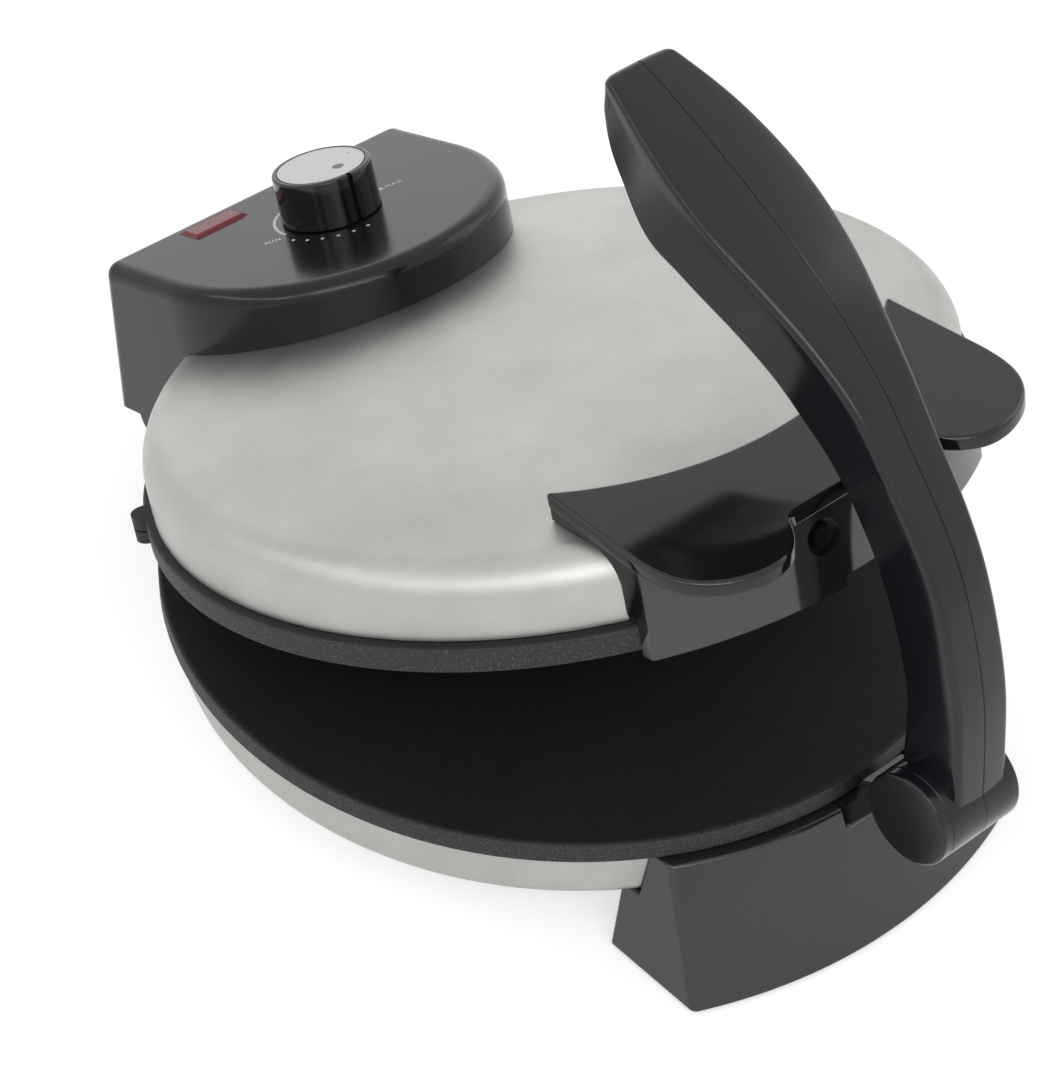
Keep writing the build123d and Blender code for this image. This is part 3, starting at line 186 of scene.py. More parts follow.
class Shader:
    """One material's nodes, each added by the same method."""

    def __init__(self, name):
        self.material = bpy.data.materials.new(name)
        self.material.use_nodes = True
        self.tree = self.material.node_tree
        self.tree.nodes.clear()

    def add(self, kind, settings=None, sockets=None, output=0):
        """Add a node, set its settings, then give its sockets values or links; returns one output."""
        node = self.tree.nodes.new(kind)
        for key, value in (settings or {}).items():
            if key == "stops":
                ramp = node.color_ramp.elements
                while len(ramp) < len(value):
                    ramp.new(0.5)
                for element, (position, colour) in zip(ramp, value):
                    element.position = position
                    element.color = colour
            else:
                setattr(node, key, value)
        for key, value in (sockets or {}).items():
            if isinstance(value, Wire):
                self.tree.links.new(value.socket, node.inputs[key])
            else:
                node.inputs[key].default_value = value
        return Wire(self, node.outputs[output]) if node.outputs else None

    def coordinates(self):
        return self.add("ShaderNodeTexCoord", output="Object")

    def noise(self, scale, detail=3.0, stretch=(1, 1, 1), turn=(0, 0, 0)):
        """Noise from 0 to 1, stretched and turned in object coordinates; scale is in waves per metre."""
        place = self.add(
            "ShaderNodeMapping", None, {"Vector": self.coordinates(), "Rotation": turn, "Scale": stretch}
        )
        return self.add(
            "ShaderNodeTexNoise", None, {"Vector": place, "Scale": scale, "Detail": detail, "Roughness": 0.6}
        )

    def ramp(self, value, low, high):
        """Map a 0 to 1 value onto the range from low to high."""
        return self.add("ShaderNodeMapRange", None, {"Value": value, "To Min": low, "To Max": high})

    def tint(self, factor, first, second):
        """Mix two colours."""
        return self.add(
            "ShaderNodeMix", {"data_type": "RGBA"}, {0: factor, 6: (*first, 1.0), 7: (*second, 1.0)}, output=2
        )

    def blend(self, factor, first, second):
        """Mix two colour wires."""
        return self.add("ShaderNodeMix", {"data_type": "RGBA"}, {0: factor, 6: first, 7: second}, output=2)

    def bump(self, height, strength, distance):
        return self.add(
            "ShaderNodeBump", None, {"Height": height, "Strength": strength, "Distance": distance}
        )

    def finish(self, sockets):
        """Principled surface with constants and links on its own sockets."""
        surface = self.add("ShaderNodeBsdfPrincipled", None, sockets)
        self.add("ShaderNodeOutputMaterial", None, {"Surface": surface})
        return self.material


def satin_steel():
    """Brushed stainless sheet: fine lines along one way, soft broad smudges."""
    shader = Shader("satin_steel")
    lines = shader.noise(60.0, 6.0, stretch=(1.2, 40.0, 40.0), turn=(0, 0, 0.5))
    smudge = shader.noise(14.0, 3.0)
    patch = shader.noise(45.0, 4.0)
    mottle = smudge * 1.5 + patch * 1.1 + lines * 0.8 - 1.2
    return shader.finish(
        {
            "Base Color": shader.tint(mottle, (0.388, 0.385, 0.370), (0.515, 0.511, 0.494)),
            "Metallic": 1.0,
            "Roughness": shader.ramp(lines * 0.6 + patch * 0.4, 0.36, 0.52),
            "Normal": shader.bump(lines, 0.10, 0.0002),
        }
    )


def coated_plate():
    """Cast plate: black non-stick face with a fine grain, and a bare, speckled grey rim."""
    shader = Shader("coated_plate")
    grain = shader.noise(1800.0, 4.0)
    cloud = shader.noise(30.0, 3.0)
    specks = shader.noise(2300.0, 1.0).above(0.64)
    upright = shader.add(
        "ShaderNodeSeparateXYZ", None, {"Vector": shader.add("ShaderNodeNewGeometry", output="Normal")}, output="Z"
    )
    rim = 1 - shader.add("ShaderNodeMath", {"operation": "ABSOLUTE"}, {0: upright}).above(0.6)
    face = shader.tint(specks * 0.12 + cloud * 0.10, (0.008, 0.008, 0.008), (0.10, 0.10, 0.10))
    side = shader.tint(specks * 0.55 + grain * 0.30, (0.018, 0.018, 0.019), (0.15, 0.15, 0.155))
    return shader.finish(
        {
            "Base Color": shader.blend(rim, face, side),
            "Roughness": shader.ramp(grain, 0.48, 0.66),
            "Specular IOR Level": 0.22,
            "Normal": shader.bump(grain, 0.35, 0.0003),
        }
    )


def moulded_plastic(name, colour, low, high, grain_height, sheen=0.5):
    """Moulded plastic: broad gloss changes, fine grain and a few faint scratches."""
    shader = Shader(name)
    broad = shader.noise(22.0, 3.0)
    grain = shader.noise(2400.0, 3.0)
    scratch = shader.noise(90.0, 2.0, stretch=(1.0, 30.0, 12.0), turn=(0.6, 0.4, 0.9)).above(0.70)
    lighter = tuple(channel * 1.5 + 0.004 for channel in colour)
    return shader.finish(
        {
            "Base Color": shader.tint(broad * 0.6 + scratch * 0.15, colour, lighter),
            "Roughness": shader.ramp(broad * 0.7 + grain * 0.3, low, high),
            "Specular IOR Level": sheen,
            "Normal": shader.bump(grain * 0.8 + scratch * 0.2, grain_height, 0.0002),
        }
    )


def plated_steel():
    """Bright zinc plate with a mottled, slightly dull finish."""
    shader = Shader("plated_steel")
    mottle = shader.noise(120.0, 4.0)
    return shader.finish(
        {
            "Base Color": shader.tint(mottle, (0.42, 0.42, 0.43), (0.60, 0.60, 0.60)),
            "Metallic": 1.0,
            "Roughness": shader.ramp(mottle, 0.25, 0.45),
        }
    )


def dark_sheath():
    """Heater tube darkened by heat, with straw and blue patches."""
    shader = Shader("dark_sheath")
    mottle = shader.noise(70.0, 4.0)
    return shader.finish(
        {
            "Base Color": shader.tint(mottle, (0.06, 0.055, 0.055), (0.16, 0.13, 0.11)),
            "Metallic": 0.8,
            "Roughness": shader.ramp(mottle, 0.45, 0.6),
        }
    )


def silver_cap():
    """Spun aluminium disc with a fine radial grain."""
    shader = Shader("silver_cap")
    grain = shader.noise(900.0, 3.0)
    return shader.finish(
        {
            "Base Color": shader.tint(grain, (0.46, 0.46, 0.455), (0.53, 0.53, 0.525)),
            "Metallic": 0.85,
            "Roughness": shader.ramp(grain, 0.38, 0.48),
            "Normal": shader.bump(grain, 0.06, 0.0001),
        }
    )


def lamp_red():
    """Red translucent lens with faint ribs along its length."""
    shader = Shader("lamp_red")
    ribs = shader.add(
        "ShaderNodeTexWave",
        {"wave_type": "BANDS", "bands_direction": "Y"},
        {"Vector": shader.coordinates(), "Scale": 260.0, "Distortion": 0.0},
        output=1,
    )
    return shader.finish(
        {
            "Base Color": shader.tint(ribs, (0.17, 0.014, 0.014), (0.27, 0.028, 0.026)),
            "Roughness": shader.ramp(ribs, 0.16, 0.24),
            "Transmission Weight": 0.15,
            "Specular IOR Level": 0.35,
            "Normal": shader.bump(ribs, 0.12, 0.0003),
        }
    )


def soft_rubber():
    """Black rubber with a dusty matt face."""
    shader = Shader("soft_rubber")
    dust = shader.noise(260.0, 4.0)
    return shader.finish(
        {
            "Base Color": shader.tint(dust, (0.012, 0.012, 0.012), (0.035, 0.034, 0.033)),
            "Roughness": shader.ramp(dust, 0.65, 0.85),
            "Normal": shader.bump(dust, 0.25, 0.0003),
        }
    )


def white_insulation():
    """Off-white moulding, as of lamp holders and terminal blocks."""
    shader = Shader("white_insulation")
    stain = shader.noise(60.0, 3.0)
    return shader.finish(
        {
            "Base Color": shader.tint(stain, (0.62, 0.60, 0.54), (0.72, 0.71, 0.66)),
            "Roughness": shader.ramp(stain, 0.45, 0.6),
        }
    )


def print_white():
    """White pad print, a little uneven."""
    shader = Shader("print_white")
    wear = shader.noise(1500.0, 3.0)
    return shader.finish(
        {
            "Base Color": shader.tint(wear, (0.62, 0.62, 0.62), (0.80, 0.80, 0.80)),
            "Roughness": shader.ramp(wear, 0.4, 0.6),
        }
    )


def backdrop():
    """Pale floor that the camera sees as white, with the object's shadow kept."""
    shader = Shader("backdrop")
    seen = shader.add("ShaderNodeLightPath", output="Is Camera Ray")
    mirrored = shader.add("ShaderNodeLightPath", output="Is Glossy Ray")
    shade = shader.add("ShaderNodeBsdfDiffuse", None, {"Color": (0.80, 0.80, 0.80, 1.0)})
    glow = shader.add(
        "ShaderNodeEmission", None, {"Color": (1.0, 1.0, 1.0, 1.0), "Strength": seen * 0.52 + mirrored * 0.5}
    )
    both = shader.add("ShaderNodeAddShader", None, {0: shade, 1: glow})
    shader.add("ShaderNodeOutputMaterial", None, {"Surface": both})
    return shader.material


MATERIALS = {}


def finish_of(slot):
    """The material of a slot, made once."""
    makers = {
        "satin_steel": satin_steel,
        "coated_plate": coated_plate,
        "satin_black": lambda: moulded_plastic("satin_black", (0.005, 0.005, 0.0055), 0.13, 0.21, 0.05, sheen=0.34),
        "gloss_black": lambda: moulded_plastic("gloss_black", (0.004, 0.004, 0.004), 0.05, 0.10, 0.02),
        # the handle's gloss black made lighter for the skirt: painted light for the bright floor that the skirt's
        # faces mirror
        "skirt_black_painted_light": lambda: moulded_plastic("skirt_black_painted_light", (0.0105, 0.0112, 0.0130), 0.06, 0.12, 0.02, sheen=0.8),
        "lever_black": lambda: moulded_plastic("lever_black", (0.0066, 0.0074, 0.0098), 0.14, 0.22, 0.04, sheen=0.42),
        "foot_black": lambda: moulded_plastic("foot_black", (0.0152, 0.0162, 0.0185), 0.10, 0.18, 0.04, sheen=0.6),
        "panel_black": lambda: moulded_plastic("panel_black", (0.007, 0.007, 0.007), 0.10, 0.16, 0.03),
        "plated_steel": plated_steel,
        "dark_sheath": dark_sheath,
        "silver_cap": silver_cap,
        "lamp_red": lamp_red,
        "black_rubber": soft_rubber,
        "white_insulation": white_insulation,
        "print_white": print_white,
    }
    if slot not in MATERIALS:
        MATERIALS[slot] = makers[slot]()
    return MATERIALS[slot]


SLOTS = {entry["node"]: entry["material_slot"] for entry in frame["record"]["subparts"]}
LOOKS = {"handle_screws": "gloss_black", "lever_pivot_cap": "lever_black"}
BODY_OF = {node: body for body, nodes in frame["record"]["behaviour"]["bodies"].items() for node in nodes}


def merged(node):
    """Copy of a CAD node's mesh with its loose triangles joined."""
    mesh = frame["nodes"][node].data.copy()
    mesh.name = node + "_skin"
    if mesh.has_custom_normals:
        mesh.attributes.remove(mesh.attributes["custom_normal"])
    work = bmesh.new()
    work.from_mesh(mesh)
    bmesh.ops.remove_doubles(work, verts=work.verts, dist=2e-6)
    work.to_mesh(mesh)
    work.free()
    return mesh


def tidied(mesh, angle):
    """Join doubles and flat faces, then smooth across every edge that bends by less than an angle."""
    work = bmesh.new()
    work.from_mesh(mesh)
    bmesh.ops.remove_doubles(work, verts=work.verts, dist=2e-6)
    bmesh.ops.dissolve_degenerate(work, dist=1e-7, edges=work.edges)
    bmesh.ops.dissolve_limit(work, angle_limit=math.radians(0.6), verts=work.verts, edges=work.edges)
    for face in work.faces:
        face.smooth = True
    for edge in work.edges:
        edge.smooth = edge.calc_face_angle(0.0) < math.radians(angle)
    work.to_mesh(mesh)
    work.free()


def trimmed(mesh, place, normal):
    """Cut off what lies past a plane and close the cut."""
    work = bmesh.new()
    work.from_mesh(mesh)
    everything = [*work.verts, *work.edges, *work.faces]
    bmesh.ops.bisect_plane(work, geom=everything, dist=1e-7, plane_co=place, plane_no=normal, clear_outer=True)
    bmesh.ops.triangle_fill(work, edges=[edge for edge in work.edges if edge.is_boundary], use_beauty=True)
    work.to_mesh(mesh)
    work.free()


def skin(node, finish, edge=0.0, angle=32.0, trim=None):
    """Finished copy of a CAD node, shown in its place: trimmed, joined, its edges rounded."""
    mesh = merged(node)
    if trim:
        trimmed(mesh, *trim)
    tidied(mesh, angle)
    thing = piece(node + "_skin", mesh, BODY_OF[node], finish_of(finish))
    if edge:
        soft = thing.modifiers.new("edge", "BEVEL")
        soft.width = edge * MM
        soft.segments = 3
        soft.limit_method = "ANGLE"
        soft.angle_limit = math.radians(40)
        soft.use_clamp_overlap = False
    level = thing.modifiers.new("level", "WEIGHTED_NORMAL")
    level.keep_sharp = True
    level.weight = 80
    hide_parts(node)
    return thing


# ---------------------------------------------------------------- front handle
WING_TIP = (61.0, -73.0)
WING_TOP = 38.3
WING_SLOPE = 0.21
WING_THICK = 4.2
WING_WAIST = -93.3
WING_EDGE = [
    (62.9, -106.0),
    (62.5, -113.0),
    (60.4, -120.0),
    (55.6, -125.8),
    (49.0, -129.6),
    (42.0, -131.4),
    (35.4, -131.0),
    (30.0, -128.3),
    (26.2, -124.6),
    (23.3, -120.4),
]
HORN_START = (60.6, -74.2)
HORN_END = (59.65, -103.0)
HORN_WALL = 2.3
HORN_GAP = 0.4
HORN_FOOT = 10.0
COVER_RADIUS = 113.4
COVER_TOP = 38.7
DOME = 530.0
COVER_ROUND = 10.4


def wing_top(back):
    """Height of the handle's sloping top."""
    return WING_TOP + WING_SLOPE * (back - WING_TIP[1])


def cover_height(radius):
    """Height of the lid cover: dome z = top - (R - sqrt(R^2 - r^2)), then the edge's quarter round."""
    dome = COVER_TOP - DOME + np.sqrt(DOME**2 - np.minimum(radius, COVER_RADIUS) ** 2)
    centre = COVER_RADIUS - COVER_ROUND
    past = np.clip(radius - centre, 0, COVER_ROUND)
    return dome - (COVER_ROUND - np.sqrt(COVER_ROUND**2 - past**2))


def hermite(points, count):
    """Smooth curve through points: Hermite cubics over chord length with np.gradient's slopes."""
    points = np.asarray(points, float)
    step = np.concatenate([[0], np.cumsum(np.linalg.norm(np.diff(points, axis=0), axis=1))])
    slope = np.gradient(points, step, axis=0)
    at = np.linspace(0, step[-1], count)
    index = np.clip(np.searchsorted(step, at, "right") - 1, 0, len(step) - 2)
    width = (step[index + 1] - step[index])[:, None]
    u = (at - step[index])[:, None] / width
    return (
        points[index] * (1 + 2 * u) * (1 - u) ** 2
        + slope[index] * width * u * (1 - u) ** 2
        + points[index + 1] * u**2 * (3 - 2 * u)
        + slope[index + 1] * width * u**2 * (u - 1)
    )


def even_loop(points, spacing, soften):
    """Closed line resampled at even steps, its corners rounded by a running mean over some steps."""
    points = np.vstack([points, points[:1]])
    step = np.concatenate([[0], np.cumsum(np.linalg.norm(np.diff(points, axis=0), axis=1))])
    at = np.linspace(0, step[-1], int(step[-1] / spacing), endpoint=False)
    loop = np.stack([np.interp(at, step, points[:, 0]), np.interp(at, step, points[:, 1])], axis=-1)
    return np.mean([np.roll(loop, shift, axis=0) for shift in range(-soften, soften + 1)], axis=0)


def wing_loop():
    """Handle from above, anticlockwise: inner arc through tips and waist, straight horns, finger holds."""
    across, back = WING_TIP
    rise = back - WING_WAIST
    radius = (across**2 + rise**2) / (2 * rise)
    swing = math.degrees(math.asin(across / radius))
    inner = arc((0, WING_WAIST + radius), radius, -90 + swing, -90 - swing, 120)
    left = hermite([(-over, behind) for over, behind in WING_EDGE], 120)
    right = hermite(WING_EDGE[::-1], 120)
    return even_loop(np.vstack([inner, left, right]), 0.5, 4)


def outward(loop):
    """Unit normals of an anticlockwise loop, in its plane."""
    along = np.roll(loop, -1, axis=0) - np.roll(loop, 1, axis=0)
    along /= np.linalg.norm(along, axis=1)[:, None]
    return np.stack([along[:, 1], -along[:, 0]], axis=-1)


def slab_levels(top_round, bottom_round, thickness, margin):
    """Inset and depth of each ring of a slab with both edges rounded, from its underside to its top."""
    turn = np.radians(np.linspace(0, 90, 8))
    low = np.stack([bottom_round * (1 - np.sin(turn)), thickness - bottom_round * (1 - np.cos(turn))], axis=-1)
    high = np.stack([top_round * (1 - np.cos(turn)), top_round * (1 - np.sin(turn))], axis=-1)
    inner_low, inner_high = [(bottom_round + margin, thickness)], [(top_round + margin, 0)]
    return np.vstack([inner_low, low, high, inner_high])


def wing_slab():
    """Wing slab: rings of the handle's outline, inset and lowered, kept clear of the cover."""
    loop = wing_loop()
    normal = outward(loop)
    rings = []
    for inset, depth in slab_levels(1.1, 0.9, WING_THICK, 0.2):
        flat = loop - normal * inset
        height = wing_top(flat[:, 1]) - depth
        clear = cover_height(np.hypot(flat[:, 0], flat[:, 1])) + 0.35
        over_cover = np.hypot(flat[:, 0], flat[:, 1]) < COVER_RADIUS - 1
        height = np.where(over_cover, np.maximum(height, clear), height)
        rings.append(np.column_stack([flat, height]))
    return tiled_tube(np.array(rings))


def horn_wall(sign):
    """Wall under a horn's outer edge, from the slab down to the cover and on to the skirt's end."""
    run = np.linspace(0, 1, 90)[:, None]
    line = np.array(HORN_START) + (np.array(HORN_END) - np.array(HORN_START)) * run
    corners = []
    for place in (line, line - [HORN_WALL, 0]):
        radius = np.hypot(place[:, 0], place[:, 1])
        low = cover_height(np.minimum(radius - HORN_GAP, COVER_RADIUS)) + HORN_GAP
        low = np.where(radius > COVER_RADIUS + HORN_GAP, HORN_FOOT, low)
        top = wing_top(place[:, 1]) - WING_THICK / 2
        corners += [np.column_stack([place, np.minimum(low, top - 0.5)]), np.column_stack([place, top])]
    loop = np.stack([corners[0], corners[1], corners[3], corners[2]], axis=1)
    return tube(loop * [sign, 1, 1], True)


LEVER_STATIONS = np.array(
    [
        (-156.2, 14.0, 9.4, 21.7),
        (-155.4, 24.0, 9.4, 21.3),
        (-154.3, 33.9, 9.4, 20.7),
        (-152.1, 48.8, 9.5, 19.8),
        (-146.5, 68.0, 9.5, 20.5),
        (-138.3, 86.6, 9.6, 21.1),
        (-129.1, 99.9, 10.0, 20.7),
        (-120.0, 110.5, 10.3, 20.5),
        (-109.0, 123.3, 11.0, 23.1),
        (-95.9, 134.7, 13.1, 23.1),
        (-81.8, 144.5, 15.9, 23.3),
        (-62.8, 154.6, 18.0, 24.6),
        (-50.2, 160.6, 17.5, 26.4),
        (-37.4, 166.2, 15.7, 22.3),
        (-22.1, 172.0, 12.0, 14.5),
        (-17.6, 173.3, 11.0, 9.0),
    ]
)
TIP_ROUND = 3.0
SEAM = 0.07
SEAM_ROUND = 0.18
RIDGE = 2.1
INNER_SHARE = 0.86
CROWN = 0.5
PIVOT_BACK, PIVOT_HEIGHT = -144.6, 13.7
BARREL = 13.4
BARREL_HALF = 12.4
BARREL_BORE = 11.0
BARREL_MIDDLE = 9.2


def lever_rows(count):
    """Sections along the lever: place, half width, depth, way along and distance from the tip.

    Hermite cubics pass through the stations with np.gradient's slopes; the last few rows crowd
    into the tip's rounding at s = r (1 - sin a).
    """
    step = np.concatenate([[0], np.cumsum(np.hypot(*np.diff(LEVER_STATIONS[:, :2], axis=0).T))])
    slope = np.gradient(LEVER_STATIONS, step, axis=0)
    rounding = step[-1] - TIP_ROUND * (1 - np.sin(np.radians(np.linspace(0, 90, 9))))
    at = np.concatenate([np.linspace(0, step[-1] - TIP_ROUND, count, endpoint=False), rounding])
    index = np.clip(np.searchsorted(step, at, "right") - 1, 0, len(step) - 2)
    width = (step[index + 1] - step[index])[:, None]
    u = (at - step[index])[:, None] / width
    rows = (
        LEVER_STATIONS[index] * (1 + 2 * u) * (1 - u) ** 2
        + slope[index] * width * u * (1 - u) ** 2
        + LEVER_STATIONS[index + 1] * u**2 * (3 - 2 * u)
        + slope[index + 1] * width * u**2 * (u - 1)
    )
    way = np.gradient(rows[:, :2], at, axis=0)
    way /= np.linalg.norm(way, axis=1)[:, None]
    return rows, way, np.minimum(step[-1] - at, TIP_ROUND)


def lever_arm(sign):
    """One half of the lever's arm as a grid of section loops.

    Each loop runs from the seam over the crowned face, round the ridge by an arc, down the leaning
    side, round the inner edge and back to the seam; at the tip it shrinks by r - sqrt(r^2 - (r - s)^2).
    """
    rows, way, from_end = lever_rows(150)
    inset = TIP_ROUND - np.sqrt(TIP_ROUND**2 - (TIP_ROUND - from_end) ** 2)
    half = (rows[:, 2] - inset)[:, None]
    deep = (rows[:, 3] - inset)[:, None]
    shallow = inset[:, None]
    ridge = np.minimum(RIDGE, (deep - shallow) / 2 - 0.2)
    low_half = half * INNER_SHARE
    turn = np.radians(np.linspace(0, 90, 9))
    flat = np.linspace(0, 1, 7)
    face_across = SEAM + SEAM_ROUND + (half - ridge - SEAM - SEAM_ROUND) * flat
    face_deep = shallow + CROWN * (face_across / half) ** 2
    ridge_across = half - ridge + ridge * np.sin(turn[1:])
    ridge_deep = face_deep[:, -1:] + ridge * (1 - np.cos(turn[1:]))
    side = np.linspace(0, 1, 6)[1:-1]
    side_across = half + (low_half - half) * side
    side_deep = ridge_deep[:, -1:] + (deep - ridge - ridge_deep[:, -1:]) * side
    under_across = low_half - ridge + ridge * np.cos(turn)
    under_deep = deep - ridge + ridge * np.sin(turn)
    ones = np.ones_like(half)
    loop_across = np.hstack(
        [SEAM * ones, face_across, ridge_across, side_across, under_across, (SEAM + SEAM_ROUND) * ones, SEAM * ones]
    )
    loop_deep = np.hstack(
        [shallow + SEAM_ROUND, face_deep, ridge_deep, side_deep, under_deep, deep, deep - SEAM_ROUND]
    )
    back = rows[:, :1] + loop_deep * way[:, 1:]
    height = rows[:, 1:2] - loop_deep * way[:, :1]
    reach = np.hypot(back - PIVOT_BACK, height - PIVOT_HEIGHT)
    push = np.maximum((BARREL + BARREL_BORE) / 2 / reach, 1)
    back = PIVOT_BACK + (back - PIVOT_BACK) * push
    height = PIVOT_HEIGHT + (height - PIVOT_HEIGHT) * push
    return np.stack([sign * loop_across, back, height], axis=-1)


def round_pivot(profile, start, end, count, sign):
    """Profile of (across, radius) points carried about the lever's pivot from one angle to another."""
    angle = np.radians(np.linspace(start, end, count))[:, None]
    over, radius = np.asarray(profile, float).T
    back = PIVOT_BACK + radius * np.cos(angle)
    height = PIVOT_HEIGHT + radius * np.sin(angle)
    return np.stack([np.broadcast_to(sign * over, back.shape), back, height], axis=-1)


def barrel_wall(sign):
    """Barrel between its ends, open at the window that the knuckle shows through."""
    profile = [(SEAM, BARREL_BORE), (BARREL_MIDDLE, BARREL_BORE), (BARREL_MIDDLE, BARREL), (SEAM, BARREL)]
    return round_pivot(profile, 14, 220, 90, sign)


def barrel_end(sign):
    """Barrel's end disc with its pin hole and a rounded rim."""
    rim = arc((BARREL_HALF - 0.5, BARREL - 0.5), 0.5, 0, 90, 5)
    profile = [(9.0, 3.06), (BARREL_HALF, 3.06), *rim, (9.0, BARREL)]
    return round_pivot(profile, 0, 357, 120, sign)


def lever_shell(node, sign):
    """Half of the lever with its half of the barrel, in place of a CAD node."""
    shells = [tube(lever_arm(sign), True), tube(barrel_wall(sign), True), tube(barrel_end(sign), False)]
    mesh = joined_mesh(node + "_skin", shells, base_place)
    thing = piece(node + "_skin", mesh, "lever", finish_of("lever_black"))
    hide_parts(node)
    return thing


# ---------------------------------------------------------------- what a user may set
class RotiCamera(bpy.types.PropertyGroup):
    """Where the photograph was taken from."""

    azimuth: bpy.props.FloatProperty(
        name="Azimuth", description="Turn about the vertical", default=math.radians(-42.462), subtype="ANGLE"
    )
    elevation: bpy.props.FloatProperty(
        name="Elevation", description="Height over the level", default=math.radians(42.211), subtype="ANGLE"
    )
    roll: bpy.props.FloatProperty(
        name="Roll", description="Turn about the line of sight", default=math.radians(1.378), subtype="ANGLE"
    )
    distance: bpy.props.FloatProperty(
        name="Distance", description="From the lower plate's middle", default=0.940186, unit="LENGTH"
    )
    aside: bpy.props.FloatVectorProperty(
        name="Aside", description="Shift right and up across the view", default=(-0.013118, 0.00015), size=2, unit="LENGTH"
    )
    lens: bpy.props.FloatProperty(
        name="Lens", description="Focal length in millimetres", default=110.21, subtype="DISTANCE_CAMERA"
    )


class RotiStudio(bpy.types.PropertyGroup):
    """Lamps and surroundings."""

    world: bpy.props.FloatProperty(
        name="World", description="Light from all round", default=0.55, min=0.0, max=1.0, subtype="FACTOR"
    )
    key: bpy.props.FloatProperty(name="Key", description="Power of the main softbox", default=2.6, unit="POWER")
    fill: bpy.props.FloatProperty(name="Fill", description="Power of the side softbox", default=1.6, unit="POWER")
    strip: bpy.props.FloatProperty(name="Strip", description="Power of a strip softbox", default=2.2, unit="POWER")
    rear: bpy.props.FloatProperty(name="Rear", description="Power of the rear softbox", default=1.5, unit="POWER")


class RotiDial(bpy.types.PropertyGroup):
    """Print round the thermostat knob."""

    across: bpy.props.FloatProperty(
        name="Across", description="Knob axis from the middle", default=0.0015, unit="LENGTH"
    )
    back: bpy.props.FloatProperty(
        name="Back", description="Knob axis behind the plate axis", default=0.091, unit="LENGTH"
    )
    ring: bpy.props.FloatProperty(name="Ring", description="Radius of the dots", default=0.0193, unit="LENGTH")
    dot: bpy.props.FloatProperty(name="Dot", description="Radius of a dot", default=0.00055, unit="LENGTH")


# ---------------------------------------------------------------- operators
class ROTI_OT_finishes(bpy.types.Operator):
    """Give every CAD node the finish of its slot"""

    bl_idname = "roti.finishes"
    bl_label = "Finishes"

    def execute(self, context):
        for node, thing in frame["nodes"].items():
            thing.data.materials.clear()
            thing.data.materials.append(finish_of(LOOKS.get(node, SLOTS[node])))
        return {"FINISHED"}


class ROTI_OT_skins(bpy.types.Operator):
    """Soften the moulded pieces' edges"""

    bl_idname = "roti.skins"
    bl_label = "Moulded skins"

    def execute(self, context):
        below = lid_place((0.0, WING_TIP[1], WING_TOP - WING_THICK - 0.02))
        upright = Vector(lid_place((0.0, -WING_SLOPE, 1.0)) - lid_place((0.0, 0.0, 0.0))).normalized()
        # the skirt's skin gets the lighter copy of the handle's black, which is painted light
        skin("front_handle", "skirt_black_painted_light", trim=(below, upright))
        wings = [wing_slab(), horn_wall(-1), horn_wall(1)]
        mesh = joined_mesh("handle_wings", wings, lid_place)
        piece("handle_wings", mesh, "lid", finish_of("gloss_black"))
        skin("front_foot", "foot_black", edge=0.8)
        skin("rear_foot", "foot_black", edge=0.5)
        return {"FINISHED"}


class ROTI_OT_lever(bpy.types.Operator):
    """Draw the lever's two halves, with their seam, ridges and rounded tip"""

    bl_idname = "roti.lever"
    bl_label = "Lever"

    def execute(self, context):
        lever_shell("lever_left_shell", -1)
        lever_shell("lever_right_shell", 1)
        return {"FINISHED"}


PANEL_SLOPE = 0.05


def dial_point(dial, radius, bearing):
    """Point of the sloping panel at a radius and bearing about the knob's axis, in millimetres."""
    across = dial.across / MM + radius * np.cos(np.radians(bearing))
    back = dial.back / MM + radius * np.sin(np.radians(bearing))
    return across, back


def panel_height(back):
    """Height of the sloping panel at a distance back."""
    return 46.8 + PANEL_SLOPE * (129.4 - back)


def decal(name, outline, faces, finish="print_white"):
    """Thin print on the panel: outline points in millimetres, raised a little and given a thickness."""
    outline = np.asarray(outline, float)
    across, back = outline[:, 0], outline[:, 1]
    low = lid_place(np.stack([across, back, panel_height(back) + 0.01], axis=-1))
    high = lid_place(np.stack([across, back, panel_height(back) + 0.05], axis=-1))
    count = len(outline)
    mesh = bpy.data.meshes.new(name)
    sides = []
    edges = {}
    for face in faces:
        for first, second in zip(face, face[1:] + face[:1]):
            edges[(first, second)] = True
    for first, second in edges:
        if (second, first) not in edges:
            sides.append((first, second, second + count, first + count))
    solid = [tuple(reversed(face)) for face in faces]
    solid += [tuple(corner + count for corner in face) for face in faces] + sides
    mesh.from_pydata(np.vstack([low, high]).tolist(), [], solid)
    finished(mesh)
    return piece(name, mesh, "lid", finish_of(finish))


def band(points, width):
    """Ribbon of a width along a line of points, as an outline and its faces."""
    points = np.asarray(points, float)
    along = np.gradient(points, axis=0)
    along /= np.linalg.norm(along, axis=1)[:, None]
    side = np.stack([-along[:, 1], along[:, 0]], axis=-1) * width / 2
    count = len(points)
    faces = [(step, step + count, step + count + 1, step + 1) for step in range(count - 1)]
    return np.vstack([points + side, points - side]), faces


STROKES = {
    "M": [[(0, 0), (0, 1), (0.4, 0.3), (0.8, 1), (0.8, 0)]],
    "I": [[(0.2, 0), (0.2, 1)]],
    "N": [[(0, 0), (0, 1), (0.7, 0), (0.7, 1)]],
    "A": [[(0, 0), (0.4, 1), (0.8, 0)], [(0.15, 0.35), (0.65, 0.35)]],
    "X": [[(0, 0), (0.75, 1)], [(0, 1), (0.75, 0)]],
}


